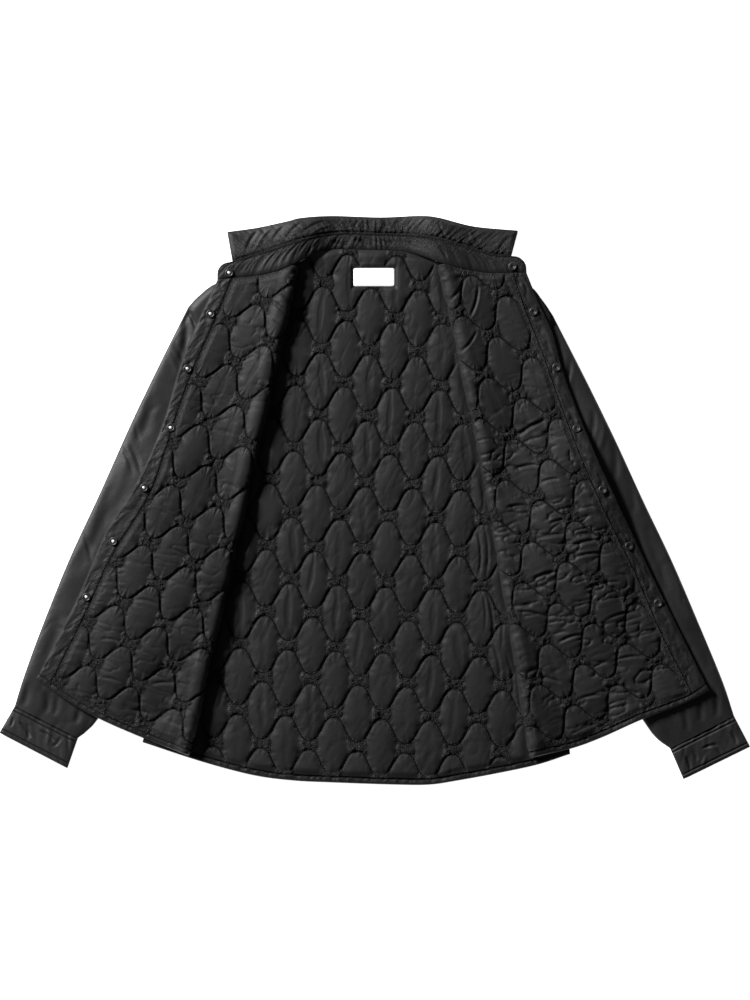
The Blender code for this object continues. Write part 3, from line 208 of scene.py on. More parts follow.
# Main creases: x and y of both ends, half width and depth; a negative depth is a ridge
CREASES = {
    "back": [
        (151, 34, 155, -21, 2.2, 1.6), (147, -39, 149, -113, 2.0, 1.9),
        (158, -37, 159, -113, 2.4, 1.7), (160, -129, 169, -201, 2.2, 1.8),
        (152, -120, 158, -190, 1.9, 1.3), (176, -144, 182, -216, 2.0, 1.6),
        (170, -205, 180, -280, 2.4, 1.5), (188, -216, 198, -288, 2.0, 1.6),
        (46, 349, 92, 341, 2.2, 3.2), (-62, 349, -20, 352, 2.2, 1.2),
        (118, 268, 124, 231, 2.2, 1.6), (131, 196, 138, 150, 2.0, 1.3),
        (-121, 262, -129, 223, 2.4, 1.3), (-181, -30, -190, -86, 2.4, 1.3),
        (-218, -232, -225, -300, 2.6, 1.4), (96, -396, 150, -386, 2.2, 1.2),
    ],
    "right": [
        (-151, 288, -125, 264, 3.0, 2.4), (-135, 297, -120, 277, 2.4, 1.8),
        (-148, 259, -128, 240, 2.4, 1.3), (-321, -264, -287, -263, 2.6, 1.8),
        (-392, -254, -364, -262, 2.2, 1.6), (-394, -199, -364, -203, 2.2, 1.5),
        (-419, -282, -398, -290, 2.0, 1.5), (-345, -142, -309, -150, 2.4, 1.5),
        (-263, -205, -238, -186, 2.6, 1.4), (-298, -68, -267, -83, 2.2, 1.3),
        (-352, -301, -318, -309, 2.4, 1.6), (-250, -300, -228, -282, 2.6, 1.5),
        (-229, 60, -204, 44, 2.4, 1.2), (-196, 196, -172, 207, 2.4, 1.2),
    ],
    "left": [
        (129, 317, 108, 287, 2.6, 2.2), (149, 310, 136, 261, 2.6, 2.3),
        (147, 244, 123, 212, 2.4, 2.0), (204, 91, 252, 118, 2.8, 3.2), (199, 44, 235, 51, 2.6, 3.1),
        (237, 25, 265, 31, 2.2, 2.5), (188, -11, 222, -8, 2.6, 3.1), (250, -34, 276, -27, 2.4, 2.7),
        (234, -54, 274, -50, 2.6, 3.1), (287, -50, 314, -48, 2.2, 2.4),
        (280, -67, 323, -57, 2.8, 3.2), (285, -83, 324, -76, 2.4, 2.8),
        (229, -113, 265, -102, 2.8, 3.1), (300, -128, 352, -117, 2.4, 2.8),
        (205, -160, 243, -166, 2.4, 2.5), (330, -172, 377, -160, 2.4, 2.5),
        (262, -205, 301, -192, 2.6, 2.7), (235, -255, 268, -262, 2.6, 2.2),
        (340, -232, 384, -224, 2.4, 2.2), (290, -287, 325, -280, 2.6, 2.2),
    ],
    "sleeve_right": [
        (-473, -274, -470, -306, 6.0, 2.0), (-457, -280, -461, -310, 5.0, 2.3),
        (-426, -296, -430, -322, 5.0, 1.9), (-500, -262, -505, -296, 6.0, 1.6),
        (-376, 22, -437, -110, 9.0, 1.5), (-352, 66, -392, -20, 7.0, -1.2),
        (-451, -158, -482, -232, 9.0, 1.4), (-318, 150, -345, 82, 7.0, 1.4),
        (-430, -205, -462, -214, 4.0, 1.3), (-440, -188, -456, -180, 3.0, 1.3),
        (-420, -148, -446, -170, 3.6, 1.2), (-291, 226, -274, 196, 4.0, 1.6),
        (-300, 214, -283, 180, 4.0, -1.2), (-262, 285, -284, 243, 3.6, 1.3),
        (-352, 80, -336, 36, 2.8, 2.8), (-364, 77, -348, 36, 2.6, 2.0),
        (-345, 108, -341, 87, 2.4, 1.8), (-420, -47, -407, -93, 3.0, 2.4),
        (-413, -54, -402, -74, 2.4, 1.6), (-272, 268, -281, 192, 6.0, 3.0),
        (-269, 271, -257, 246, 2.6, 2.4), (-310, 140, -322, 128, 3.0, 1.5),
    ],
    "sleeve_left": [
        (314, 132, 310, 88, 5.0, 1.7), (342, 86, 345, 30, 6.0, 1.7), (330, 120, 322, 70, 5.0, -1.3),
        (360, 44, 374, -18, 7.0, 1.6), (388, -52, 421, -132, 8.0, 1.6),
        (410, -60, 444, -140, 7.0, -1.3), (452, -170, 483, -245, 8.0, 1.6),
        (437, -196, 463, -270, 5.0, 1.4), (462, -280, 470, -318, 5.0, 1.9),
        (486, -268, 492, -312, 5.0, 1.9), (442, -300, 450, -332, 4.5, 1.7),
        (281, 206, 272, 160, 4.0, 1.5),
    ],
    "cuff_right": [
        (-511, -319, -494, -343, 2.4, 2.0), (-499, -321, -501, -348, 2.2, 1.8),
        (-482, -331, -460, -348, 2.4, 2.0), (-468, -328, -472, -352, 2.2, -1.4),
        (-451, -340, -463, -355, 2.2, 1.8), (-520, -312, -524, -326, 2.2, 1.4),
    ],
    "cuff_left": [
        (448, -368, 454, -390, 2.4, 2.0), (471, -357, 493, -352, 2.2, 1.8),
        (457, -360, 464, -374, 2.2, 1.8), (486, -348, 500, -368, 2.4, 1.9),
        (512, -332, 521, -350, 2.4, 1.6), (476, -366, 470, -384, 2.2, -1.3),
    ],
    "leaf": [
        (-186, 356, -168, 388, 3.0, 1.6), (-172, 358, -150, 392, 2.6, -1.2),
        (-150, 366, -128, 396, 2.8, 1.5), (-131, 372, -104, 400, 2.6, 1.5),
        (-108, 382, -70, 402, 2.6, 1.4), (-92, 384, -62, 396, 2.2, -1.2),
        (-30, 390, -22, 404, 2.4, 1.2), (22, 388, 14, 403, 2.4, 1.3), (58, 386, 76, 402, 2.6, 1.3),
        (104, 376, 92, 400, 2.8, 1.5), (128, 370, 150, 388, 2.6, 1.4),
        (150, 362, 136, 388, 2.6, -1.2), (176, 356, 196, 380, 3.0, 1.3),
    ],
    "stand": [
        (-62, 372, -40, 364, 2.4, 1.6), (-30, 376, -6, 364, 2.6, 1.8), (8, 374, 30, 365, 2.4, 1.6),
        (40, 374, 58, 361, 2.4, 1.6), (90, 366, 104, 349, 2.4, 1.6),
        (-90, 366, -100, 352, 2.2, 1.6),
    ],
}
CREASE_BEND = 0.06      # how far a crease bows from straight, in its lengths

# Spacing of points
LINE_STEP = 1.5        # along outlines
MAP_STEP = 3.0         # between measured heights
MAP_SOFTEN = (5, 4, 3)    # steps over which they are averaged
MAP_SPREAD = 14        # steps by which they are carried on past an edge
BACK_ROWS, BACK_COLUMNS, HIDDEN_COLUMNS = 346, 226, 9
FRONT_ROWS, FRONT_COLUMNS, FOLD_COLUMNS, UNDER_COLUMNS = 400, 168, 24, 12
SHELL_ROWS, SHELL_COLUMNS, SHELL_FOLD, SHELL_UNDER = 120, 34, 12, 12
PLACKET_COLUMNS = 16
SLEEVE_ROWS, SLEEVE_COLUMNS = 250, 62
CUFF_ROWS = 44
COLLAR_COLUMNS, STAND_ROWS, LEAF_ROWS = 330, 18, 26
HEM_STEP, HEM_ROWS = 1.5, 8
LABEL_COLUMNS, LABEL_ROWS = 60, 28


# ---- plane geometry

def ease(s):
    """A smooth step from 0 at s = 0 to 1 at s = 1."""
    s = np.clip(s, 0, 1)
    return s * s * (3 - 2 * s)


def bell(away, width):
    """1 at no distance, falling smoothly to 0 past the width."""
    return np.exp(-(away / width) ** 2)


def run_of(line):
    """Distance along a line at each of its points."""
    return np.concatenate([[0], np.cumsum(np.linalg.norm(np.diff(line, axis=0), axis=1))])


def points_at(line, distances):
    run = run_of(line)
    return np.column_stack([np.interp(distances, run, column) for column in line.T])


def spaced(line, count):
    """The line with that many evenly spaced points, keeping both ends."""
    return points_at(line, np.linspace(0, run_of(line)[-1], count))


def length_of(line):
    return float(run_of(line)[-1])


def smooth(points):
    """Close points on a smooth curve through the given ones."""
    p = np.array(points, float)
    before = np.vstack([2 * p[0] - p[1], p[:-1]])
    beyond = np.vstack([p[1:], 2 * p[-1] - p[-2]])
    tangent = (beyond - before) / 2
    line = [p[:1]]
    for i in range(len(p) - 1):
        count = max(4, int(np.linalg.norm(p[i + 1] - p[i]) / LINE_STEP))
        s = np.linspace(0, 1, count + 1)[1:, None]
        line.append(
            (2 * s**3 - 3 * s**2 + 1) * p[i] + (s**3 - 2 * s**2 + s) * tangent[i]
            + (3 * s**2 - 2 * s**3) * p[i + 1] + (s**3 - s**2) * tangent[i + 1]
        )
    line = np.vstack(line)
    return spaced(line, max(3, int(length_of(line) / LINE_STEP)))


def joined(*lines):
    """One open line from lines that follow each other."""
    return np.vstack([line[:-1] for line in lines[:-1]] + [lines[-1]])


def after(line, length):
    """The line without its first stretch of that length."""
    return np.vstack([points_at(line, [length]), line[run_of(line) > length]])


def before_end(line, length):
    return after(line[::-1], length)[::-1]


def nearest(line, point):
    return int(np.argmin(np.linalg.norm(line - point, axis=1)))


def moved(line, amount):
    """The line moved sideways, to its left where amount is over 0."""
    step = np.gradient(line, axis=0)
    step /= np.linalg.norm(step, axis=1)[:, None]
    return line + np.column_stack([-step[:, 1], step[:, 0]]) * amount


def inset_of(line, amount, way):
    """The line moved sideways, to the side where the second coordinate grows with way."""
    one = moved(line, amount)
    return one if (one - line)[:, 1].sum() * way > 0 else moved(line, -amount)


def distance_to(points, line):
    """Distance of each point to a line of points."""
    best = np.full(len(points), np.inf)
    for a, b in zip(line[:-1], line[1:]):
        d = b - a
        s = np.clip((points - a) @ d / max(d @ d, 1e-9), 0, 1)
        best = np.minimum(best, np.linalg.norm(points - a - s[:, None] * d, axis=1))
    return best


def coarse(line, step=6.0):
    """The line with fewer points, for measuring distances to it."""
    return spaced(line, max(3, int(length_of(line) / step)))


def patch(left, right, top, bottom, rows, columns):
    """A grid of points, rows from top to bottom, between four sides that meet."""
    sides = [spaced(line, rows) for line in (left, right)]
    ends = [spaced(line, columns) for line in (top, bottom)]
    ends[0][0], ends[0][-1] = sides[0][0], sides[1][0]
    ends[1][0], ends[1][-1] = sides[0][-1], sides[1][-1]
    v = np.linspace(0, 1, rows)[:, None, None]
    u = np.linspace(0, 1, columns)[None, :, None]
    ruled = (1 - u) * sides[0][:, None] + u * sides[1][:, None]
    crossed = (1 - v) * ends[0][None] + v * ends[1][None]
    corners = ((1 - u) * (1 - v) * sides[0][0] + u * (1 - v) * sides[1][0]
               + (1 - u) * v * sides[0][-1] + u * v * sides[1][-1])
    return ruled + crossed - corners


def beside(*grids):
    """One grid from grids that share their sides."""
    return np.concatenate([grid[:, :-1] for grid in grids[:-1]] + [grids[-1]], axis=1)


def outline_of(grid):
    """The closed outline of a grid of points."""
    return np.concatenate([grid[0], grid[1:, -1], grid[-1, -2::-1], grid[-2::-1, 0]])


def area_of(outline):
    x, y = outline[:, 0], outline[:, 1]
    return abs(0.5 * float((x * np.roll(y, -1) - y * np.roll(x, -1)).sum()))


# ---- noise and creases

class Noise:
    """Smooth seeded noise over the plane, from -1 to 1."""

    SIZE = 128

    def __init__(self, seed):
        self.table = np.random.default_rng(seed).uniform(-1, 1, (self.SIZE, self.SIZE))

    def __call__(self, x, y):
        x, y = np.broadcast_arrays(np.asarray(x, float), np.asarray(y, float))
        i, j = np.floor(x).astype(int), np.floor(y).astype(int)
        u, v = ease(x - i), ease(y - j)
        a, b = i % self.SIZE, (i + 1) % self.SIZE
        c, d = j % self.SIZE, (j + 1) % self.SIZE
        t = self.table
        return ((t[a, c] * (1 - u) + t[b, c] * u) * (1 - v)
                + (t[a, d] * (1 - u) + t[b, d] * u) * v)


def turned_axes(points, degrees):
    """Coordinates along and across a direction."""
    c, s = math.cos(math.radians(degrees)), math.sin(math.radians(degrees))
    return points @ (c, s), points @ (-s, c)


def ripples(points, degrees, long, short, seed):
    """Uneven wrinkles that run at an angle: from -1 in a trough to 1 on a ridge."""
    a, b = turned_axes(points, degrees)
    noise = Noise(seed)
    b = b + 0.5 * short * noise(a / long + 7, b / long + 3)
    value = noise(a / long, b / short) + 0.45 * noise(a / long * 2.1 + 40, b / short * 2.3)
    return value / 1.3


def sharp(points, degrees, long, short, seed):
    """Narrow winding troughs that run at an angle: -1 along each, 0 away from them."""
    a, b = turned_axes(points, degrees)
    noise = Noise(seed)
    value = noise(a / long, b / short) + 0.35 * noise(a / long * 1.9 + 31, b / short * 1.7)
    present = ease(0.5 + 1.6 * noise(a / 41 + 11, b / 19 + 5))
    return -np.exp(-np.abs(value) / 0.16) * present


def creased(points, table):
    """Height that a table of creases adds: a soft trough with low shoulders each."""
    height = np.zeros(len(points))
    for *ends, half_width, depth in table:
        start, end = np.array(ends, float).reshape(2, 2)
        length = np.linalg.norm(end - start)
        step = (end - start) / length
        rel = points - start
        along = rel @ step / length
        bend = CREASE_BEND * length * np.sin(np.pi * np.clip(along, 0, 1))
        away = (rel @ np.array([-step[1], step[0]]) - bend) / half_width
        near = (np.abs(away) < 4) & (along > -0.3) & (along < 1.3)
        fade = np.clip(1 - (2 * along[near] - 1) ** 2, 0, 1) ** 0.7
        q = away[near] ** 2
        height[near] -= depth * fade * (1 - 0.75 * q) * np.exp(-q / 1.4)
    return height


# ---- measured heights

class Heights:
    """Heights of a solid's upper or under face over the plane, smoothed."""

    def __init__(self, node, upper=True, keep=None, change=None):
        low, high = (np.array(corner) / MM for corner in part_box(node))
        self.low = low[:2] - MAP_STEP * MAP_SPREAD
        counts = np.ceil((high[:2] - low[:2]) / MAP_STEP).astype(int) + 2 * MAP_SPREAD + 1
        axes = [self.low[k] + MAP_STEP * np.arange(counts[k]) for k in (0, 1)]
        points = np.stack(np.meshgrid(*axes, indexing="ij"), -1).reshape(-1, 2)
        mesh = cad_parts[node].data
        tree = BVHTree.FromPolygons([v.co for v in mesh.vertices],
                                    [tuple(p.vertices) for p in mesh.polygons])
        start, way = (1.0, Vector((0, 0, -1))) if upper else (-1.0, Vector((0, 0, 1)))
        wanted = np.ones(len(points), bool) if keep is None else keep(points)
        heights = np.full(len(points), np.nan)
        for i in np.flatnonzero(wanted):
            hit = tree.ray_cast(Vector((points[i, 0] * MM, points[i, 1] * MM, start)), way)[0]
            if hit is not None:
                heights[i] = hit.z / MM
        if change is not None:
            heights = change(points, heights)
        self.z = self.spread(heights.reshape(counts))
        for reach in MAP_SOFTEN:
            for axis in (0, 1):
                shifts = [np.roll(self.z, k, axis) for k in range(-reach, reach + 1)]
                self.z = np.mean(shifts, axis=0)

    @staticmethod
    def spread(z):
        """Carries the heights on past their edge, from the nearest known ones."""
        for _ in range(3 * MAP_SPREAD):
            unknown = np.isnan(z)
            if not unknown.any():
                break
            around = np.stack([np.roll(z, k, axis) for axis in (0, 1) for k in (-1, 1)])
            known = ~np.isnan(around)
            mean = np.where(known, around, 0).sum(0) / np.maximum(known.sum(0), 1)
            z = np.where(unknown & known.any(0), mean, z)
        return np.where(np.isnan(z), np.nanmean(z), z)

    def __call__(self, points):
        at = (points - self.low) / MAP_STEP
        i, j = (np.clip(at[:, k].astype(int), 0, self.z.shape[k] - 2) for k in (0, 1))
        u, v = np.clip(at[:, 0] - i, 0, 1), np.clip(at[:, 1] - j, 0, 1)
        z = self.z
        return (z[i, j] * (1 - u) * (1 - v) + z[i + 1, j] * u * (1 - v)
                + z[i, j + 1] * (1 - u) * v + z[i + 1, j + 1] * u * v)


# ---- quilting

def wave_at(cosine):
    """Height of a stitch wave, from -1 to 1, over the cosine of its angle."""
    return cosine * (1 + 3 * WAVE_ROUND - 4 * WAVE_ROUND * cosine ** 2) / (1 - WAVE_ROUND)


def wave_slope(turn):
    """Slope of a stitch wave at an angle."""
    swell = 1 + 3 * WAVE_ROUND - 12 * WAVE_ROUND * np.cos(turn) ** 2
    return -np.sin(turn) * swell / (1 - WAVE_ROUND)


class Quilting:
    """The stitch lines of one panel and the padding between them."""

    def __init__(self, name):
        q = QUILTING[name]
        self.wrinkles = WRINKLES[name]
        self.seed = q["seed"]
        self.origin = np.array(q["origin"], float)
        self.basis = np.column_stack([q["along"], q["down"]])
        self.inverse = np.linalg.inv(self.basis)
        self.wave, self.row = np.linalg.norm(self.basis, axis=0)
        self.down = self.basis[:, 1] / self.row

    def axes(self, points):
        """Points as waves along and rows across."""
        return ((points - self.origin) @ self.inverse.T).T

    def plan(self, along, row):
        return np.column_stack([along, row]) @ self.basis.T + self.origin

    @staticmethod
    def stitch_row(line, along):
        """Where stitch line number line runs, in rows."""
        sign = np.where(line % 2 == 0, 1, -1)
        return line + 0.5 + sign * WAVE * wave_at(np.cos(2 * np.pi * along))

    def cell(self, points):
        """Number of the stitch line below each point, and the rows of both lines."""
        along, row = self.axes(points)
        number = np.floor(row)
        for shift in (-1, 1):
            line = np.floor(row) + shift
            within = ((row >= self.stitch_row(line - 1, along))
                      & (row < self.stitch_row(line, along)))
            number = np.where(within, line, number)
        low = self.stitch_row(number - 1, along)
        return along, row, number, low, self.stitch_row(number, along)

    def snapped(self, points, reach):
        """Points with those near a stitch line moved on to it."""
        _, row, _, low, high = self.cell(points)
        to_low, to_high = low - row, high - row
        shift = np.where(np.abs(to_low) < np.abs(to_high), to_low, to_high) * self.row
        shift = np.where(np.abs(shift) < reach, shift, 0)
        return points + shift[:, None] * self.down

    def noise(self, number, x, y):
        """One of the panel's own noises."""
        return Noise(self.seed + number)(x, y)

    def relief(self, points):
        """How full the padding is, 0 on a stitch line, the wrinkles on it in mm, and how
        crinkled the cloth is beside the stitches."""
        along, row, number, low, high = self.cell(points)
        width = high - low
        v = np.clip((row - low) / width, 0, 1)
        nearer_low = v < 0.5
        line = np.where(nearer_low, number - 1, number)
        offset = np.where(nearer_low, row - low, row - high) * self.row
        sign = np.where(line % 2 == 0, 1, -1)
        steep = 2 * np.pi * WAVE * self.row / self.wave
        slope = sign * steep * wave_slope(2 * np.pi * along)
        gap = np.abs(offset) / np.sqrt(1 + slope ** 2)
        clear = 1 - bell(gap, GROOVE)
        dome = (4 * v * (1 - v)) ** ROUNDNESS * (width / (1 + 2 * WAVE)) ** NARROWING
        foot = along * self.wave + offset * slope / (1 + slope ** 2)
        rays = self.noise(0, foot / RAY_SPACING, line * 5.3 + nearer_low * 2.7)
        fine = self.noise(1, foot / RAY_SPACING * 2.2, line * 3.1 + nearer_low * 1.3)
        narrow = np.clip(1.3 - width, 0, 1)
        ragged = width + 0.16 * self.noise(10, *(points / 5.5).T)
        neck = ease((NECK_WIDTH[1] - ragged) / (NECK_WIDTH[1] - NECK_WIDTH[0]))
        reach = np.exp(-gap / RAY_LENGTH) * clear
        w = self.wrinkles
        height = w["ray"] * (rays + 0.6 * fine) * (0.7 + 1.1 * narrow) * reach
        tall, size = NECK_CRINKLE
        height += tall * neck * clear * self.noise(9, *(points / size).T)
        height += self.dimples(along, number, v)
        strength = 1 - (1 - CALM_SHARE) * ease((points[:, 1] - w["calm"]) / CALM_EASE + 0.5)
        strength = strength * clear
        height += w["cross"] * ripples(points, w["turn"], 34, 9, self.seed + 4) * strength
        height += w["crease"] * sharp(points, w["turn"], 25, 9, self.seed + 7) * strength
        return dome * clear, height, np.clip(0.45 * np.exp(-gap / 2.2) + neck, 0, 1)

    def dimples(self, along, number, v):
        """The soft oval hollow down the middle of about half of the cells."""
        half = np.where(number % 2 == 0, 0.0, 0.5)
        middle = np.round(along - half) + half
        pick = Noise(self.seed + 2)
        chance = pick(middle * 3.7 + 0.5, number * 2.9 + 0.5)
        lean = pick(middle * 5.1 + 9.5, number * 4.3 + 0.5)
        away = (along - middle - 0.08 * lean - 0.16 * lean * (v - 0.5)) * self.wave
        away = away + 2.2 * pick(v * 2.7 + number, middle * 1.7)
        depth = self.wrinkles["dimple"] * np.clip(0.3 + 1.6 * chance, 0, 1.2)
        far = np.hypot(away / (5.0 + 1.5 * lean), (v - 0.5 + 0.06 * chance) / 0.34)
        return -depth * ease((1.25 - far) / 0.75)


# ---- meshes

def grid_faces(rows, columns, start=0):
    number = start + np.arange(rows * columns).reshape(rows, columns)
    a, b = number[:-1, :-1], number[:-1, 1:]
    c, d = number[1:, 1:], number[1:, :-1]
    return np.stack([d, c, b, a], -1).reshape(-1, 4)


def ring_of(rows, columns):
    """Point numbers round the edge of a grid."""
    number = np.arange(rows * columns).reshape(rows, columns)
    return np.concatenate([number[0, :-1], number[:-1, -1], number[-1, :0:-1], number[:0:-1, 0]])


def make(name, points, faces, finish, marks=None):
    """A smooth mesh object of points in millimetres, on the garment's body. Marks are
    named values, one for each point, which its material reads."""
    mesh = bpy.data.meshes.new(name)
    mesh.from_pydata((np.asarray(points) * MM).tolist(), [], [list(map(int, f)) for f in faces])
    mesh.update()
    mesh.shade_smooth()
    mesh.materials.append(finish)
    for key, values in (marks or {}).items():
        layer = mesh.attributes.new(key, "FLOAT", "POINT")
        layer.data.foreach_set("value", np.asarray(values, np.float32).reshape(-1))
    made = bpy.data.objects.new(name, mesh)
    bpy.context.scene.collection.objects.link(made)
    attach(made, BODY)
    return made


def upward(faces, points):
    """The faces turned over where most of them look down."""
    a, b, c = (points[faces[:, k]] for k in range(3))
    up = np.cross(b - a, c - a)[:, 2].sum() > 0
    return faces if up else faces[:, ::-1]


def raised(grid, height):
    """A grid of plane points with their heights: one number, or one for each point."""
    heights = np.broadcast_to(np.ravel(height), grid.shape[0] * grid.shape[1])
    return np.dstack([grid, heights.reshape(grid.shape[:2])])


def skin(name, grid, under, finish, marks):
    """A grid of points with a rim that turns down to the height under it."""
    around = ((1, 1), (1, 1), (0, 0))
    rim, low = (np.pad(side, around, mode="edge") for side in (grid, under))
    rim[[0, -1]] = low[[0, -1]]
    rim[:, [0, -1]] = low[:, [0, -1]]
    points = rim.reshape(-1, 3)
    marks = {key: np.pad(values.reshape(grid.shape[:2]), 1, mode="edge")
             for key, values in marks.items()}
    return make(name, points, upward(grid_faces(*rim.shape[:2]), points), finish, marks)


def closed(name, top, under, bulge, finish, marks=None):
    """A closed piece between an upper and an under grid, with a rounded edge."""
    rows, columns = top.shape[:2]
    high, low = top.reshape(-1, 3), under.reshape(-1, 3)
    ring = ring_of(rows, columns)
    edge = high[ring, :2]
    step = np.roll(edge, -1, axis=0) - np.roll(edge, 1, axis=0)
    normal = np.column_stack([step[:, 1], -step[:, 0]])
    normal /= np.maximum(np.linalg.norm(normal, axis=1), 1e-6)[:, None]
    if ((edge - edge.mean(0)) * normal).sum() < 0:
        normal = -normal
    middle = (high[ring] + low[ring]) / 2
    middle[:, :2] += normal * bulge
    count = rows * columns
    faces = grid_faces(rows, columns)
    turned = upward(faces, high)
    over = 2 * count + np.arange(len(ring))
    strip = [np.column_stack([a, np.roll(a, -1), np.roll(b, -1), b])
             for a, b in ((ring, over), (over, ring + count))]
    if turned is not faces:
        strip = [s[:, ::-1] for s in strip]
    marks = {key: np.concatenate([np.ravel(values)] * 2 + [np.ravel(values)[ring]])
             for key, values in (marks or {}).items()}
    return make(name, np.vstack([high, low, middle]),
                np.vstack([turned, turned[:, ::-1] + count, *strip]), finish, marks)


def declare(flat_grid, layers=1, down=(0, -1)):
    """Works out the flat area of a cloth piece from its outline in the flat, and keeps nothing."""
    outline = outline_of(flat_grid)
    down = np.array(down, float) / np.linalg.norm(down)
    area_of(outline) * layers * MM * MM


def declare_strip(grid, edge=0.0):
    """Works out the flat length and width of a long strip, a grid whose rows run along it, and
    keeps nothing.
    """
    length = length_of(grid[len(grid) // 2])
    width = area_of(outline_of(grid)) / length + edge


def stitches(name, runs, finish, long=3.3, gap=0.8, thick=0.65):
    """Thread that shows along lines of points, as one mesh of short pointed dashes. By default the
    dashes are wider than thread, so black ones are also painted shade of the stitch creases.
    """
    points = []
    for run in runs:
        starts = np.arange(gap, length_of(run) - long, long + gap)
        first, last = points_at(run, starts), points_at(run, starts + long)
        step = last - first
        side = np.column_stack([-step[:, 1], step[:, 0], np.zeros(len(step))])
        side *= thick / np.maximum(np.linalg.norm(side, axis=1), 1e-6)[:, None]
        rise = np.array([0, 0, thick * 0.7])
        rings = [first + step * share + way for share in (0.25, 0.75)
                 for way in (side, rise, -side, -rise)]
        points.append(np.stack([first, last, *rings], axis=1).reshape(-1, 3))
    dash = []
    for k, n in ((0, 1), (1, 2), (2, 3), (3, 0)):
        dash += [(0, 2 + n, 2 + k), (2 + k, 2 + n, 6 + n, 6 + k), (1, 6 + k, 6 + n)]
    points = np.vstack(points)
    faces = [[base + i for i in face] for base in range(0, len(points), 10) for face in dash]
    return make(name, points, faces, finish)


# ---- materials

NYLONS = {    # colour, roughness and strength of the crumples
    "lining": ((0.0105, 0.0105, 0.0107), 0.58, 0.25),
    "shell": ((0.0185, 0.0178, 0.0176), 0.48, 0.3),
    # The collar's nylon is the shell's made darker: painted shade.
    "collar": ((0.0085, 0.0084, 0.0084), 0.52, 0.4),
    "binding": ((0.0105, 0.0105, 0.0107), 0.52, 0.35),
}
TINT = 0.2             # share by which a nylon's colour varies


def nodes_of(name):
    """A new material with its node tree and its shader."""
    made = bpy.data.materials.new(name)
    made.use_nodes = True
    return made, made.node_tree, made.node_tree.nodes["Principled BSDF"]


def put(tree, socket, value):
    """Sets an input, or links it where the value is another node's output."""
    if isinstance(value, bpy.types.NodeSocket):
        tree.links.new(value, socket)
    else:
        socket.default_value = value


def fill(tree, node, **inputs):
    for key, value in inputs.items():
        put(tree, node.inputs[key.replace("_", " ")], value)


def add(tree, kind, options=None, **inputs):
    """A new node with its options, and its inputs set or linked."""
    node = tree.nodes.new("ShaderNode" + kind)
    for key, value in (options or {}).items():
        setattr(node, key, value)
    fill(tree, node, **inputs)
    return node


def calc(tree, operation, *values):
    """The result of a math node on numbers and other nodes' outputs."""
    node = add(tree, "Math", dict(operation=operation))
    for socket, value in zip(node.inputs, values):
        put(tree, socket, value)
    return node.outputs["Value"]


def object_place(tree):
    return add(tree, "TexCoord").outputs["Object"]


def clouds(tree, scale, detail, **inputs):
    made = add(tree, "TexNoise", Vector=object_place(tree), Scale=scale, Detail=detail, **inputs)
    return made.outputs["Fac"]


def threads(tree, direction, scale, distortion, **inputs):
    """Parallel threads that run across a direction."""
    made = add(tree, "TexWave", dict(bands_direction=direction), Vector=object_place(tree),
               Scale=scale, Distortion=distortion, **inputs)
    return made.outputs["Fac"]


def ramp(tree, value, dark, light, stops=(0, 1)):
    """From a dark to a light colour as a value grows from the first stop to the second."""
    made = add(tree, "ValToRGB", Fac=value)
    for element, stop, colour in zip(made.color_ramp.elements, stops, (dark, light)):
        element.position = stop
        element.color = (*colour, 1)
    return made.outputs["Color"]


def remap(tree, value, to_min, to_max, from_min=0.0, from_max=1.0, **options):
    made = add(tree, "MapRange", options, Value=value, From_Min=from_min, From_Max=from_max,
               To_Min=to_min, To_Max=to_max)
    return made.outputs["Result"]


def mixed(tree, share, first, second):
    made = add(tree, "Mix", dict(data_type="RGBA"), Factor=share, A=first, B=second)
    return made.outputs["Result"]


def bump(tree, height, strength, distance, **inputs):
    made = add(tree, "Bump", Height=height, Strength=strength, Distance=distance, **inputs)
    return made.outputs["Normal"]


def marked(tree, name):
    """The values that a piece's points carry under a name."""
    return add(tree, "Attribute", dict(attribute_name=name)).outputs["Fac"]


def line_shade(tree, quilting):
    """1 along a panel's stitch lines, as seen in plan, falling to 0 beside them."""
    def do(operation, *values):
        return calc(tree, operation, *values)

    axes = []
    for row in quilting.inverse:
        dot = add(tree, "VectorMath", dict(operation="DOT_PRODUCT"))
        put(tree, dot.inputs[0], object_place(tree))
        put(tree, dot.inputs[1], (*(row / MM), 0))
        axes.append(do("SUBTRACT", dot.outputs["Value"], row @ quilting.origin))
    turn = do("MULTIPLY", axes[0], 2 * math.pi)
    cosine = do("COSINE", turn)
    square = do("MULTIPLY", cosine, cosine)
    least, most = WAVE_ROUND / (1 - WAVE_ROUND), (1 + 3 * WAVE_ROUND) / (1 - WAVE_ROUND)
    swell = do("MULTIPLY_ADD", square, -4 * least * WAVE, most * WAVE)
    wave = do("MULTIPLY", cosine, swell)
    even = do("SUBTRACT", do("SUBTRACT", axes[1], 0.5), wave)
    odd = do("ADD", do("SUBTRACT", axes[1], 1.5), wave)
    rows = do("MINIMUM", do("PINGPONG", even, 1.0), do("PINGPONG", odd, 1.0))
    steep = 2 * math.pi * WAVE * quilting.row / quilting.wave
    swell = do("MULTIPLY_ADD", square, -12 * least * steep, most * steep)
    slope = do("MULTIPLY", do("SINE", turn), swell)
    tilt = do("SQRT", do("ADD", do("MULTIPLY", slope, slope), 1.0))
    gap = do("DIVIDE", do("MULTIPLY", rows, quilting.row), tilt)
    return remap(tree, gap, 1.0, 0.0, *STITCH_SHADE, interpolation_type="SMOOTHSTEP")


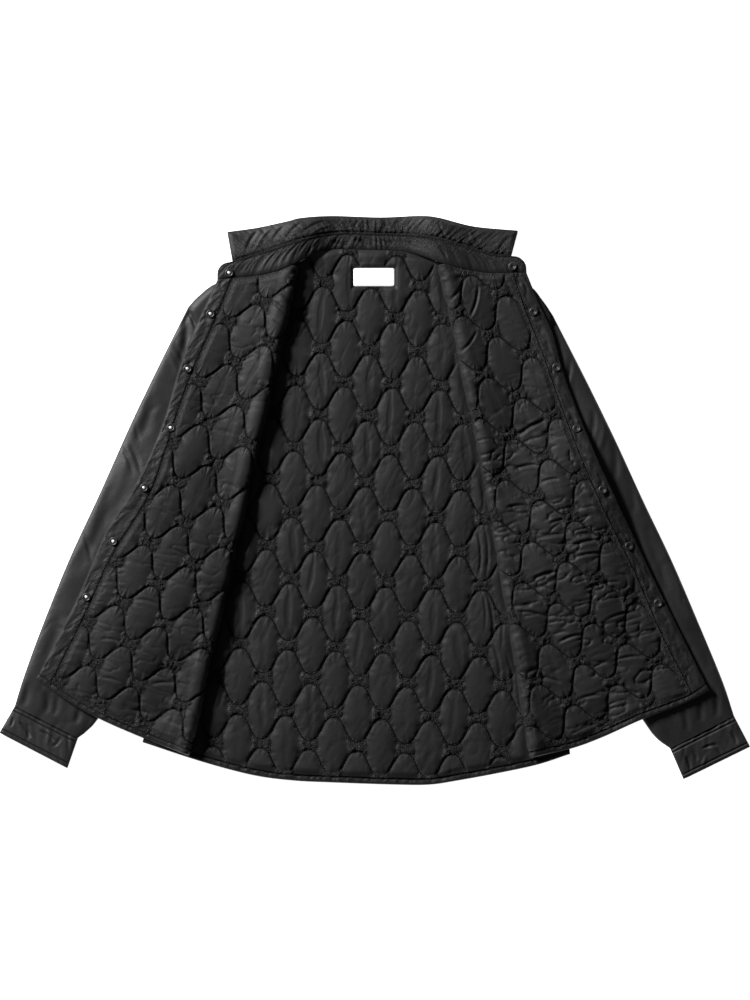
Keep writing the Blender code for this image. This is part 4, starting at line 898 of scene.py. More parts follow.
def nylon(name, colour, roughness, crumple, quilting=None):
    """Fine nylon taffeta: crossed threads, faint crumples, crinkles beside its stitching,
    painted shade along its stitch lines and in the hollows of its crinkles, and uneven colour."""
    made, tree, shader = nodes_of(name)
    colour = np.array(colour)
    broad = clouds(tree, 14.0, 4.0, Roughness=0.6)
    tight = clouds(tree, 230.0, 2.0, Roughness=0.6, Distortion=1.5)
    small = clouds(tree, 170.0, 5.0, Roughness=0.62)
    # dark is painted shade: 1 in the stitch grooves and in small spots of the crinkled zones
    dark, pulled = marked(tree, "stitched"), marked(tree, "crinkled")
    if quilting is not None:
        dark = calc(tree, "MULTIPLY", dark, line_shade(tree, quilting))
    # Painted shade in the hollows of the crinkles: dark spots where the tight noise is low
    painted_pit_shade = calc(tree, "MULTIPLY", pulled, remap(tree, tight, 0.9, 0.0, *PIT_SHADE_RANGE))
    dark = calc(tree, "MAXIMUM", dark, painted_pit_shade)
    cloth = ramp(tree, broad, colour * (1 - TINT), colour * (1 + TINT), (0.3, 0.75))
    gloss = remap(tree, broad, roughness - 0.06, roughness + 0.08)
    crumples = bump(tree, small, crumple, 0.0012)
    pulls = calc(tree, "MULTIPLY_ADD", dark, -0.12, calc(tree, "MULTIPLY", pulled, tight))
    crinkles = bump(tree, pulls, 1.0, 0.007, Normal=crumples)
    crossed = [threads(tree, way, 620.0, 1.2, Detail=1.0) for way in "XY"]
    weave = calc(tree, "MAXIMUM", *crossed)
    # Painted shade: where dark is 1 the base colour falls to a twentieth of the cloth's
    fill(tree, shader, Sheen_Weight=0.03, Sheen_Roughness=0.5, Specular_IOR_Level=0.22,
         Base_Color=mixed(tree, dark, cloth, (*colour * 0.05, 1)),
         Roughness=calc(tree, "MULTIPLY_ADD", dark, 0.5, gloss),
         Normal=bump(tree, weave, 0.35, 0.00012, Normal=crinkles))
    return made


def satin_label():
    """White woven satin: fine floats across the label and a faint unevenness."""
    made, tree, shader = nodes_of("label_satin")
    white = ramp(tree, clouds(tree, 60.0, 3.0), (0.80, 0.80, 0.79), (0.90, 0.90, 0.895))
    floats = threads(tree, "Y", 520.0, 0.6, Detail=1.0)
    fill(tree, shader, Roughness=0.55, Sheen_Weight=0.2, Base_Color=white,
         Normal=bump(tree, floats, 0.5, 0.00015))
    return made


def enamel(name, dark, light):
    """Satin enamel on a pressed metal snap, with lighter bare metal where marked: partly worn
    enamel, partly painted highlight.
    """
    made, tree, shader = nodes_of(name)
    uneven = clouds(tree, 420.0, 3.0)
    paint = ramp(tree, uneven, *((grey, grey, grey * 1.04) for grey in (dark, light)))
    # Painted highlight, partly real wear: the marked middle of a post takes a light bare-metal
    # colour
    fill(tree, shader, Metallic=0.6, Roughness=remap(tree, uneven, 0.38, 0.52),
         Base_Color=mixed(tree, marked(tree, "bare_metal_highlight"), paint, (0.6, 0.6, 0.61, 1)),
         Normal=bump(tree, uneven, 0.2, 0.0001))
    return made


def thread_finish(name, colour):
    """Twisted sewing thread."""
    made, tree, shader = nodes_of(name)
    colour = np.array(colour)
    twist = threads(tree, "DIAGONAL", 900.0, 1.5)
    fill(tree, shader, Roughness=0.85, Specular_IOR_Level=0.1,
         Base_Color=ramp(tree, twist, colour * 0.7, colour * 1.2))
    return made


# ---- fronts

class Front:
    """One front: its outline unrolled in the plane of its turned-out part.

    Points there are (out, down): out from the fold line, down along it. The part that
    lies face down continues past the fold, at negative out."""

    def __init__(self, name):
        self.name = name
        self.c = FRONTS[name]
        top, end = np.array(self.c["fold"], float)
        self.top = top
        self.length = np.linalg.norm(end - top)
        self.down = (end - top) / self.length
        self.out = np.array([-self.down[1], self.down[0]]) * self.c["side"]
        self.line = {key: smooth(self.c[key]) for key in
                     ("neck", "cf", "seam", "hem", "shoulder", "armhole", "side_seam",
                      "under_hem")}
        self.quilting = Quilting(name)
        self.measured = Heights(f"front_{name}_shell", keep=self.turned_out)
        self.flat_lines()

    def turned_out(self, plan):
        return self.unroll(plan)[:, 0] > FOLD_OUTSIDE

    def bow(self, down):
        return self.c["bow"] * np.sin(np.pi * np.clip(down / self.length, 0, 1))

    def unroll(self, plan, turned=True):
        """Plan points as (out, down) of the unrolled front."""
        rel = np.asarray(plan, float) - self.top
        down = rel @ self.down
        out = rel @ self.out - self.bow(down)
        if not turned:
            out = 2 * FOLD_OUTSIDE - HALF_TURN - out
        return np.column_stack([out, down])

    def plan(self, flat):
        """Plan points of the turned-out part's plane."""
        out = flat[:, 0] + self.bow(flat[:, 1])
        return self.top + out[:, None] * self.out + flat[:, 1:2] * self.down

    def angle(self, flat):
        """Turn about the fold: -90 degrees and less lies face down, 90 and more is out."""
        return (flat[:, 0] - FOLD_OUTSIDE + HALF_TURN / 2) / FOLD_NEUTRAL

    def shell_height(self, flat):
        """Height of the shell's under face where it is turned out."""
        height = self.measured(self.plan(flat)) - SHELL
        at_fold = ease(1 - (flat[:, 0] - FOLD_OUTSIDE) / FOLD_BLEND)
        return height + (FOLD_AXIS + FOLD_INSIDE - height) * at_fold

    def lay(self, flat, lift):
        """Space points of the unrolled front, lift millimetres from the shell's face."""
        turn = self.angle(flat)
        radius = FOLD_INSIDE + lift
        turned, under = turn >= np.pi / 2, turn <= -np.pi / 2
        bend = np.clip(turn, -np.pi / 2, np.pi / 2)
        out = np.where(turned, flat[:, 0], FOLD_OUTSIDE - radius * np.cos(bend))
        out = np.where(under, 2 * FOLD_OUTSIDE - HALF_TURN - flat[:, 0], out)
        plan = self.plan(np.column_stack([out, flat[:, 1]]))
        height = np.where(under, Z_BODY - lift, FOLD_AXIS + radius * np.sin(bend))
        height = np.where(turned, self.shell_height(flat) + lift, height)
        return np.column_stack([plan, height])

    def sheet(self, grid, lift):
        """A grid of the unrolled front in space; lift is one number or one for each point."""
        return self.lay(grid.reshape(-1, 2), np.ravel(lift)).reshape(*grid.shape[:2], 3)

    def flat_lines(self):
        """The sides of the facing, the turned-out part, the fold and the hidden part."""
        line = self.line
        neck, hem = self.unroll(line["neck"]), self.unroll(line["hem"])
        cf, seam = (self.unroll(before_end(line[key], HEM_WIDTH)) for key in ("cf", "seam"))
        inset = inset_of(hem, HEM_WIDTH, -1)
        inset[0] = cf[-1]
        at_neck, at_hem = nearest(neck, seam[0]), nearest(inset, seam[-1])
        seam[0], seam[-1] = neck[at_neck], inset[at_hem]
        past = FOLD_OUTSIDE - HALF_TURN
        ends = []
        for edge in (neck[at_neck:], inset[at_hem:]):
            kept = edge[edge[:, 0] > FOLD_OUTSIDE]
            down = np.interp(FOLD_OUTSIDE, edge[::-1, 0], edge[::-1, 1])
            ends.append(np.vstack([kept, (FOLD_OUTSIDE, down)]))
        fold = np.array([ends[0][-1], ends[1][-1]])
        chain = joined(*(self.unroll(part, False) for part in self.hidden_lines()))
        chain = after(chain, FOLD_OUTSIDE - past - GAP)
        hidden = np.column_stack([np.full(2, past), fold[:, 1]])
        self.sides = dict(cf=cf, seam=seam, fold=fold, hidden=hidden, chain=chain)
        self.tops = dict(facing=neck[:at_neck + 1], turned=ends[0])
        self.bottoms = dict(facing=inset[:at_hem + 1], turned=ends[1])
        self.hem, self.inset = hem, inset

    def hidden_lines(self):
        """The lines in plan that the front shares with the back, down to the hem binding."""
        line = self.line
        return line["shoulder"], line["armhole"], before_end(line["side_seam"], HEM_WIDTH)

    def blocks(self, rows, facing, turned, fold, under):
        """Grids of the facing and of the rest, with the given numbers of columns."""
        s, tops, bottoms = self.sides, self.tops, self.bottoms
        across = [np.array([s["fold"][k], s["hidden"][k]]) for k in (0, 1)]
        down = [np.array([s["hidden"][k], s["chain"][-k]]) for k in (0, 1)]
        return (patch(s["cf"], s["seam"], tops["facing"], bottoms["facing"], rows, facing),
                patch(s["seam"], s["fold"], tops["turned"], bottoms["turned"], rows, turned),
                patch(s["fold"], s["hidden"], *across, rows, fold),
                patch(s["hidden"], s["chain"], *down, rows, under))


def front_lining(front, finish):
    """The padded lining from the facing's seam round the fold to the side seam."""
    parts = front.blocks(FRONT_ROWS, 4, FRONT_COLUMNS, FOLD_COLUMNS, UNDER_COLUMNS)
    grid = beside(*parts[1:])
    inner = grid[1:-1, 1:FRONT_COLUMNS - 1]
    snapped = front.quilting.snapped(front.plan(inner.reshape(-1, 2)), SNAP_FRONT)
    inner[:] = front.unroll(snapped).reshape(inner.shape)
    thick, marks = lining_thickness(front, grid.reshape(-1, 2), coarse(outline_of(grid)))
    made = skin(f"lining_{front.name}", front.sheet(grid, LINING + thick),
                front.sheet(grid, LINING), finish, marks)
    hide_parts(f"front_{front.name}_lining")
    declare(grid, down=(0, 1))


def lining_thickness(front, flat, edge):
    """Thickness of a front's padded lining: flat where it is hidden, full from the fold."""
    turn = front.angle(flat)
    plan = front.plan(flat)
    full, wrinkles, crinkled = front.quilting.relief(plan)
    shown = ease((turn - FILL_TURN) / (FULL_TURN - FILL_TURN))
    pressed = FOLD_PRESS[front.name] * bell(turn - 0.8, 1.1)
    full = full * (1 - pressed)
    thick = STITCHED + (PUFFED - STITCHED) * full * shown
    plain = ease((FULL_TURN - turn) / (FULL_TURN - PLAIN_TURN))
    thick = thick * (1 - plain) + PLAIN_FRONT * plain
    away = distance_to(flat, edge)
    inward = ease(away / EDGE_EASE)
    thick = EDGE + (thick - EDGE) * inward
    out, down = flat.T
    wrinkles += 1.2 * front.quilting.noise(27, down / 4.4, out / 15) * np.exp(-away / 8)
    wrinkles += 1.6 * pressed * front.quilting.noise(29, down / 5.5, out / 15)
    extra = wrinkles + creased(plan, CREASES[front.name])
    crinkled = np.maximum(crinkled, 0.5 * np.exp(-away / 5))
    # stitched and crinkled are masks of painted shade, along the stitch lines and in the crinkles
    marks = dict(stitched=shown * inward, crinkled=crinkled * shown)
    return np.maximum(thick + extra * shown * inward, THINNEST), marks


def front_shell(front, finish):
    """The outer nylon under the lining and the facing, folded with them."""
    grid = beside(*front.blocks(SHELL_ROWS, 5, SHELL_COLUMNS, SHELL_FOLD, SHELL_UNDER))
    made = closed(f"shell_{front.name}", front.sheet(grid, SHELL), front.sheet(grid, 0.0),
                  0.2, finish)
    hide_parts(f"front_{front.name}_shell")
    declare(grid, down=(0, 1))


def snap_pucker(plan, front):
    """Cloth drawn down round the snaps, with short creases from each."""
    height = np.zeros(len(plan))
    for number, centre in enumerate(front.c["snaps"]):
        rel = plan - np.array(centre)
        away = np.linalg.norm(rel, axis=1)
        turn = np.arctan2(rel[:, 1], rel[:, 0])
        star = np.cos(5 * turn + number * 1.7) + 0.6 * np.cos(3 * turn + number * 2.9)
        height += 0.45 * star * bell(away - 10, 4.5) - 0.5 * bell(away, 9)
    return height


def placket_thickness(front, flat):
    """Height of the facing on its shell: rolled edges, edge stitching and pulls."""
    plan = front.plan(flat)
    from_cf, from_seam = (distance_to(flat, coarse(front.sides[key])) for key in FACING_STITCH)
    rolled = np.minimum(ease(from_cf / 4.5), ease(from_seam / 2.6))
    thick = 1.6 + (PLACKET - 1.5) * rolled
    for away, stitch in zip((from_cf, from_seam), FACING_STITCH.values()):
        thick -= 0.25 * bell(away - stitch, 1.2)
    lean, strength = FACING_PULLS[front.name]
    seed = front.quilting.seed
    pulls = ripples(plan, lean, 13, 4.2, seed + 9)
    pulls += 1.2 * sharp(plan, lean, 18, 8, seed + 21)
    puckers = front.quilting.noise(19, flat[:, 1] / 3.6, from_seam / 9)
    gathered = 0.7 * puckers * np.exp(-from_seam / 6)
    # stitched and crinkled paint shade along the facing's stitch lines and its seam's puckers
    marks = dict(stitched=bell(from_seam, 1.6) + 0.5 * bell(from_cf, 1.5),
                 crinkled=0.35 * np.exp(-from_seam / 4))
    return thick + (strength * pulls + gathered + snap_pucker(plan, front)) * rolled, marks


def placket(front, finish):
    """The facing along the centre front, which carries the snaps."""
    grid = front.blocks(FRONT_ROWS, PLACKET_COLUMNS, 4, 3, 3)[0]
    thick, marks = placket_thickness(front, grid.reshape(-1, 2))
    made = skin(f"facing_{front.name}", front.sheet(grid, LINING + thick),
                front.sheet(grid, LINING), finish, marks)
    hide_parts(f"placket_{front.name}")
    declare_strip(np.swapaxes(grid, 0, 1))


def hem_section(across, along, seed, edge):
    """Height of a puckered hem binding and its marks; across is 0 to 1 over its width."""
    arch = np.sqrt(np.clip(1 - (2 * across - 1) ** 4, 0, 1))
    pucker = Noise(seed)(along / 4.6, across * 1.4) + 0.5 * Noise(seed + 1)(along / 2.3, across)
    lift = edge + (HEM_HEIGHT - edge) * arch
    line = bell(across - 0.86, 0.10)
    reach = 0.4 + 0.6 * bell(across - 0.8, 0.3)
    # stitched and crinkled paint shade along the binding's stitch groove
    marks = dict(stitched=line, crinkled=0.4 * line)
    return lift + 1.1 * pucker * arch * reach - 0.8 * line, marks


def hem_grid(outer, way, seed, edge):
    """A grid over a hem's width, with the heights and the marks of its binding."""
    outer = spaced(outer, int(length_of(outer) / HEM_STEP))
    inner = inset_of(outer, HEM_WIDTH, way)
    share = np.linspace(0, 1, HEM_ROWS)
    grid = outer[None] * (1 - share[:, None, None]) + inner[None] * share[:, None, None]
    along = np.linspace(0, length_of(outer), len(outer))
    return grid, *hem_section(*np.meshgrid(share, along, indexing="ij"), seed, edge)


def front_hem(front, finish):
    """The bound hem, from the centre front round the fold to the side seam."""
    side = front.unroll(front.line["under_hem"], False)[::-1]
    outer = np.vstack([front.hem[front.hem[:, 0] > side[0, 0] + 3], side])
    grid, lift, marks = hem_grid(outer, -1, front.quilting.seed + 15, HEM_EDGE)
    made = closed(f"hem_{front.name}", front.sheet(grid, lift), front.sheet(grid, 0.0),
                  0.5, finish, marks)
    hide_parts(f"hem_front_{front.name}")
    declare_strip(grid, edge=HEM_EDGE)


# ---- back

def back_grids(fronts, hidden):
    """Grids of the back between its side seams: a hidden part on each side."""
    chains = [joined(*front.hidden_lines()) for front in fronts]
    inset = inset_of(smooth(BACK_HEM), HEM_WIDTH, 1)
    inset[0], inset[-1] = chains[0][-1], chains[1][-1]
    tops = [chain[: int(BACK_CORNER / LINE_STEP)] for chain in chains]
    top = joined(tops[0][::-1], smooth(BACK_NECK), tops[1])
    cuts = []
    for front in fronts:
        end = np.array(front.c["fold"][1], float)
        cuts.append(nearest(inset, end + (front.c["side"] * BACK_CORNER, HEM_WIDTH)))
    left = np.array([top[0], inset[cuts[0]]])
    right = np.array([top[-1], inset[cuts[1]]])
    middle = patch(left, right, top, inset[cuts[0]:cuts[1] + 1], BACK_ROWS, BACK_COLUMNS)
    sides = []
    for chain, edge, bottom in ((chains[0], left, inset[:cuts[0] + 1]),
                                (chains[1], right, inset[cuts[1]:][::-1])):
        chain = after(chain, BACK_CORNER)
        start = np.array([chain[0], edge[0]])
        sides.append(patch(chain, edge, start, bottom, BACK_ROWS, hidden))
    return sides[0], middle, sides[1][:, ::-1]


def back_bare(fronts, plan):
    """1 where the folded fronts leave the back bare, falling to 0 under them."""
    bare = np.ones(len(plan))
    for front in fronts:
        bare = np.minimum(bare, ease((BARE_END - front.unroll(plan)[:, 0]) / BARE_EASE))
    return bare


def beyond_label(plan, margin):
    """Distance of plan points past the label's edge and a margin round it."""
    return (np.abs(plan - LABEL["centre"]) - np.array(LABEL["size"]) / 2 - margin).max(1)


def back_thickness(fronts, quilting, plan, edge):
    """Thickness of the back's padded lining: flat under the fronts and the label."""
    full, wrinkles, crinkled = quilting.relief(plan)
    bare = back_bare(fronts, plan)
    thick = PLAIN_BACK + (STITCHED + (PUFFED - STITCHED) * full - PLAIN_BACK) * bare
    off = ease(beyond_label(plan, LABEL_BED["rim"]) / LABEL_BED["margin"])
    thick = LABEL_BED["thick"] + (thick - LABEL_BED["thick"]) * off
    rim = PLAIN_BACK + (EDGE - PLAIN_BACK) * bare
    inward = ease(distance_to(plan, edge) / EDGE_EASE)
    thick = rim + (thick - rim) * inward
    extra = wrinkles + creased(plan, CREASES["back"])
    # stitched and crinkled are masks of painted shade, along the stitch lines and in the crinkles
    marks = dict(stitched=bare * off * inward, crinkled=crinkled * bare)
    return np.maximum(thick + extra * bare * off * inward, THINNEST), marks


def back(fronts, lining_finish, shell_finish, hem_finish):
    """The back's lining, its flat shell and its bound hem."""
    quilting = Quilting("back")
    right, middle, left = back_grids(fronts, HIDDEN_COLUMNS)
    inner = middle[1:-1, 1:-1]
    inner[:] = quilting.snapped(inner.reshape(-1, 2), SNAP_BACK).reshape(inner.shape)
    grid = beside(right, middle, left)
    thick, marks = back_thickness(fronts, quilting, grid.reshape(-1, 2),
                                  coarse(outline_of(grid)))
    made = skin("lining_back", raised(grid, Z_BACK + thick), raised(grid, Z_BACK),
                lining_finish, marks)
    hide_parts("back_lining")
    declare(grid)
    rows, columns = (np.linspace(0, size - 1, size // 6).astype(int) for size in grid.shape[:2])
    thin = grid[rows][:, columns]
    made = closed("shell_back", raised(thin, SHELL), raised(thin, 0.0), 0.1, shell_finish)
    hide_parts("back_shell")
    declare(thin)
    back_hem(hem_finish)
    return quilting


def back_hem(finish):
    """The bound hem along the back, flat on the table."""
    grid, lift, marks = hem_grid(smooth(BACK_HEM), 1, 71, HEM_EDGE - 0.2)
    made = closed("hem_binding_back", raised(grid, lift), raised(grid, 0.0), 0.4, finish,
                  marks)
    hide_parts("hem_back")
    declare_strip(grid, edge=HEM_EDGE)


# ---- sleeves and cuffs

def side_profile(away, power):
    """Share of a tube's height at that distance from its folded side."""
    s = np.clip(away / SLEEVE_EASE, 0, 1)
    return (1 - (1 - s) ** power) ** (1 / power)


class Tube:
    """A flattened tube of cloth with folded sides."""

    def __init__(self, node, grid, lines, creases):
        self.grid = grid
        self.sides = [coarse(line) for line in lines]
        self.creases = creases
        self.base = Heights(node, upper=False, change=self.without_rise)
        self.tall = Heights(node, change=self.over_base)

    def from_side(self, p):
        return np.min([distance_to(p, line) for line in self.sides], axis=0)

    def rise(self, p):
        return EDGE_RISE * (1 - ease(self.from_side(p) / UNDER_EASE))

    def without_rise(self, p, heights):
        return np.maximum(heights - self.rise(p), 0)

    def over_base(self, p, heights):
        """Height over the base and the folded edge, as if the sides weren't rounded."""
        rounded = side_profile(self.from_side(p), 2)
        tall = (heights - self.base(p) - EDGE_RISE) / np.maximum(rounded, 0.1)
        return np.where(rounded > 0.6, tall, np.nan)

    def faces_at(self, p):
        base, rounded = self.base(p), side_profile(self.from_side(p), FULLNESS)
        extra = creased(p, self.creases)
        lean = 63 if p[:, 0].mean() < 0 else 117
        extra = extra + 1.0 * ripples(p, lean, 60, 19, len(self.creases))
        extra = extra + 0.7 * sharp(p, lean - 12, 45, 24, len(self.creases) + 5)
        top = base + EDGE_RISE + (self.tall(p) + extra) * rounded
        under = base + self.rise(p)
        return np.maximum(top, under + 0.8), under

    def rings(self):
        """Rings of space points round the tube, one for each row of its grid."""
        flat = self.grid.reshape(-1, 2)
        top, under = (z.reshape(self.grid.shape[:2]) for z in self.faces_at(flat))
        top[:, [0, -1]] = (top[:, [0, -1]] + under[:, [0, -1]]) / 2
        below = raised(self.grid, under)[:, -2:0:-1]
        return np.concatenate([raised(self.grid, top), below], axis=1)


def even_ends(columns):
    """Shares across a tube, closer at its folded sides."""
    return 0.5 - 0.5 * np.cos(np.linspace(0, np.pi, columns))


def with_columns(grid, shares):
    """The grid with its columns at other shares of its width."""
    at = shares * (grid.shape[1] - 1)
    low = np.minimum(at.astype(int), grid.shape[1] - 2)
    part = (at - low)[None, :, None]
    return grid[:, low] * (1 - part) + grid[:, low + 1] * part


def ring_mesh(name, rings, finish, marks=None):
    """A mesh of rings, each closed on itself; marks have one value for each ring."""
    rows, columns = rings.shape[:2]
    number = np.arange(rows * columns).reshape(rows, columns)
    right = np.roll(number, -1, axis=1)
    faces = np.stack([number[:-1], right[:-1], right[1:], number[1:]], -1).reshape(-1, 4)
    points = rings.reshape(-1, 3)
    half = faces.reshape(rows - 1, columns, 4)[:, : columns // 2 - 1].reshape(-1, 4)
    if upward(half, points) is not half:
        faces = faces[:, ::-1]
    marks = {key: np.repeat(values, columns) for key, values in (marks or {}).items()}
    return make(name, points, faces, finish, marks)


def sleeve(front, finish):
    """A sleeve from the armhole to its cuff."""
    c = front.c
    outer, inner = smooth(c["sleeve_outer"]), smooth(c["sleeve_inner"])
    corner = np.array(c["cuff"], float)
    grid = patch(outer, inner, front.line["armhole"], corner[[0, 3]], SLEEVE_ROWS,
                 SLEEVE_COLUMNS)
    grid = with_columns(grid, even_ends(SLEEVE_COLUMNS))
    node = f"sleeve_{front.name}"
    tube = Tube(node, grid, (outer, inner), CREASES[node])
    made = ring_mesh(f"{node}_cloth", tube.rings(), finish)
    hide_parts(node)
    down = corner[[0, 3]].mean(0) - front.line["armhole"].mean(0)
    declare(grid, layers=2, down=down)


def cuff(front, finish):
    """A cuff with its stitched end band, open at its mouth."""
    corner = np.array(front.c["cuff"], float)
    seam, end = corner[[0, 3]], corner[[1, 2]]
    grid = patch(corner[[0, 1]], corner[[3, 2]], seam, end, CUFF_ROWS, SLEEVE_COLUMNS)
    grid = with_columns(grid, even_ends(SLEEVE_COLUMNS))
    sides = [coarse(spaced(corner[pair], 8)) for pair in ([0, 1], [3, 2])]
    length = np.linalg.norm(end.mean(0) - seam.mean(0))
    shares = np.linspace(0, 1, CUFF_ROWS)
    rings, lines = [], []
    for row, share in zip(grid, shares):
        away = np.min([distance_to(row, side) for side in sides], axis=0)
        rounded = side_profile(away, FULLNESS)
        from_seam, from_end = share * length, (1 - share) * length
        puckers = front.quilting.noise(31, row[:, 0] / 4.2, from_seam / 14)
        creases = puckers * (0.4 + 1.3 * math.exp(-from_seam / 8))
        creases = creases + 1.2 * creased(row, CREASES[f"cuff_{front.name}"])
        offs = [from_end - CUFF_BAND] + [from_seam - at for at in CUFF_SEAMS]
        # lines paint shade along the stitched grooves; they become the stitched mark
        lines.append(0.9 * max(bell(off, 1.0) for off in offs))
        groove = 1.1 * lines[-1]
        drop = 1.6 * (1 - ease(from_end / 3)) + 1.0 * (1 - ease(from_seam / 4))
        top = EDGE_RISE + (CUFF_HEIGHT - EDGE_RISE + creases - groove - drop) * rounded
        under = EDGE_RISE * (1 - ease(away / UNDER_EASE))
        top[[0, -1]] = under[[0, -1]] = EDGE_RISE
        over = np.column_stack([row, np.maximum(top, under)])
        rings.append(np.vstack([over, np.column_stack([row, under])[-2:0:-1]]))
    rings = np.array(rings)
    mouth = inside_rings(rings[-1], (seam.mean(0) - end.mean(0)) / length)
    node = f"cuff_{front.name}"
    lines += [0.0] * len(mouth)
    made = ring_mesh(f"{node}_cloth", np.concatenate([rings, mouth]), finish,
                     dict(stitched=lines))
    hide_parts(node)
    declare(grid, layers=2, down=end.mean(0) - seam.mean(0))


def inside_rings(last, inward):
    """Rings of the inside of a cuff, from its mouth in."""
    centre = last.mean(0)
    half = np.abs(last[:, 2] - centre[2]).max()
    rings = []
    for depth, wall in ((-0.6, 0.5), (0.2, 1.6), (CUFF_TURN_IN / 3, CUFF_WALL),
                        (CUFF_TURN_IN, CUFF_WALL)):
        ring = last.copy()
        width = np.linalg.norm(last[:, :2] - centre[:2], axis=1)
        ring[:, :2] = centre[:2] + (last[:, :2] - centre[:2]) * (
            1 - wall / np.maximum(width, wall))[:, None]
        ring[:, 2] = centre[2] + (last[:, 2] - centre[2]) * max(1 - wall / half, 0.25)
        ring[:, :2] += inward * depth
        rings.append(ring)
    return np.array(rings)


# ---- collar

def collar_puckers(grid, seed, at_seam, fading):
    """Gathers across the collar, strongest along the leaf's seam and fading from there."""
    along = np.cumsum(np.linalg.norm(np.diff(grid[0], axis=0, prepend=grid[0][:1]), axis=1))
    share = np.linspace(0, 1, len(grid))[:, None]
    away = (share if at_seam == "first" else 1 - share) * np.linalg.norm(
        grid[0] - grid[-1], axis=1)
    lean = along[None] - GATHER_LEAN * away * np.tanh(grid[:, :, 0] / 60)
    fine = Noise(seed)(lean / 2.5, away / 12) + 0.4 * Noise(seed + 1)(lean / 1.7, away / 9)
    broad = Noise(seed + 2)(lean / 8.5, away / 26)
    reach = (0.2 + np.exp(-away / fading)) * (1 - np.exp(-away / 1.5))
    return 2.1 * fine * reach + 0.9 * broad * (0.5 + 0.5 * np.exp(-away / 18)), away


def collar(fronts, finish):
    """The stand and the leaf, gathered where they are sewn together."""
    right, left = (front.line["neck"] for front in fronts)
    neck = joined(right, smooth(BACK_NECK), left[::-1])
    seam, top = smooth(LEAF_SEAM), smooth(LEAF_TOP)
    ends = {key: smooth(STAND_END[key]) for key in STAND_END}
    stand = patch(ends["right"][::-1], ends["left"], seam, neck, STAND_ROWS, COLLAR_COLUMNS)
    leaf = patch(np.array([top[0], seam[0]]), np.array([top[-1], seam[-1]]), top, seam,
                 LEAF_ROWS, COLLAR_COLUMNS)
    for name, grid, thick, at_seam, seed, fading in (
            ("stand", stand, STAND_THICK, "first", 51, 16),
            ("leaf", leaf, LEAF_THICK, "last", 57, 10)):
        base = Heights(f"collar_{name}", upper=False)
        flat = grid.reshape(-1, 2)
        puckers, away = collar_puckers(grid, seed, at_seam, fading)
        inward = ease(distance_to(flat, coarse(outline_of(grid), 4)) / COLLAR_EASE)
        under = np.maximum(base(flat), 0)
        groove = 1.5 * bell(away - 3.4, 1.1).reshape(-1)
        height = under + COLLAR_EDGE + (thick - COLLAR_EDGE) * inward - groove
        height += puckers.reshape(-1) * (0.25 + 0.75 * inward)
        height += creased(flat, CREASES[name]) * inward
        height = np.maximum(height, under + 0.8)
        high = raised(grid, height)
        # stitched and crinkled paint shade in the seam's groove and in the gathers beside it
        marks = dict(stitched=0.7 * groove / 1.5 + np.exp(-away.reshape(-1) / 0.8),
                     crinkled=np.exp(-away.reshape(-1) / 9))
        made = closed(f"{name}_cloth", high, raised(grid, under), 0.5, finish, marks)
        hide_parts(f"collar_{name}")
        declare_strip(grid)
        if name == "stand":
            stand_top = high
    return stand_top


# ---- label and snaps

def label(finish):
    """A bare woven label, sewn flat on the back's lining."""
    half = np.array(LABEL["size"]) / 2
    x = np.linspace(-half[0], half[0], LABEL_COLUMNS)
    y = np.linspace(half[1], -half[1], LABEL_ROWS)
    grid = np.stack(np.meshgrid(x, y), -1)
    over = np.maximum(np.abs(grid[:, :, 1]) - (half[1] - LABEL_ROUND), 0)
    short = LABEL_ROUND - np.sqrt(LABEL_ROUND ** 2 - over ** 2)
    grid[:, :, 0] *= 1 - short / half[0]
    grid += LABEL["centre"]
    flat = grid.reshape(-1, 2)
    edge = distance_to(flat, outline_of(grid))
    base = Z_BACK + LABEL_BED["thick"] + GAP
    wave = 0.16 * ripples(flat, 8, 22, 9, 91)
    top = base + LABEL["thick"] * (0.45 + 0.55 * ease(edge / 1.0)) + wave
    top -= 0.25 * bell(edge - LABEL_SEAM, 0.45)
    made = closed("label_cloth", raised(grid, top), raised(grid, base), 0.1, finish)
    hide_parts("label")
    declare(grid)
    inset = half - LABEL_SEAM
    corners = np.array([(-1, -1), (1, -1), (1, 1), (-1, 1), (-1, -1)]) * inset + LABEL["centre"]
    return np.column_stack([corners, np.full(5, base + LABEL["thick"] - 0.1)])


SNAP_PROFILE = {    # (radius, height) from the middle out and down
    "post": [(0, 2.55), (0.9, 2.5), (1.7, 2.2), (2.4, 1.75), (2.9, 1.35), (3.3, 1.15),
             (3.8, 1.1), (4.1, 1.3), (4.4, 1.7), (4.8, 1.92), (5.3, 1.85), (5.8, 1.45),
             (6.15, 0.85), (6.2, 0.5), (5.9, 0), (0, 0)],
    "socket": [(0, 0.35), (1.2, 0.35), (1.6, 0.4), (1.9, 0.75), (2.1, 1.2), (2.5, 1.45),
               (3.0, 1.4), (3.4, 1.25), (3.8, 1.4), (4.2, 1.75), (4.7, 1.9), (5.2, 1.8),
               (5.7, 1.45), (6.1, 0.9), (6.2, 0.5), (5.9, 0), (0, 0)],
}
SNAP_SIDES = 40
BARE_METAL_HIGHLIGHT = {"post": 2.3, "socket": 0.0}    # radius of the lighter bare metal in the middle: partly worn enamel, partly painted highlight


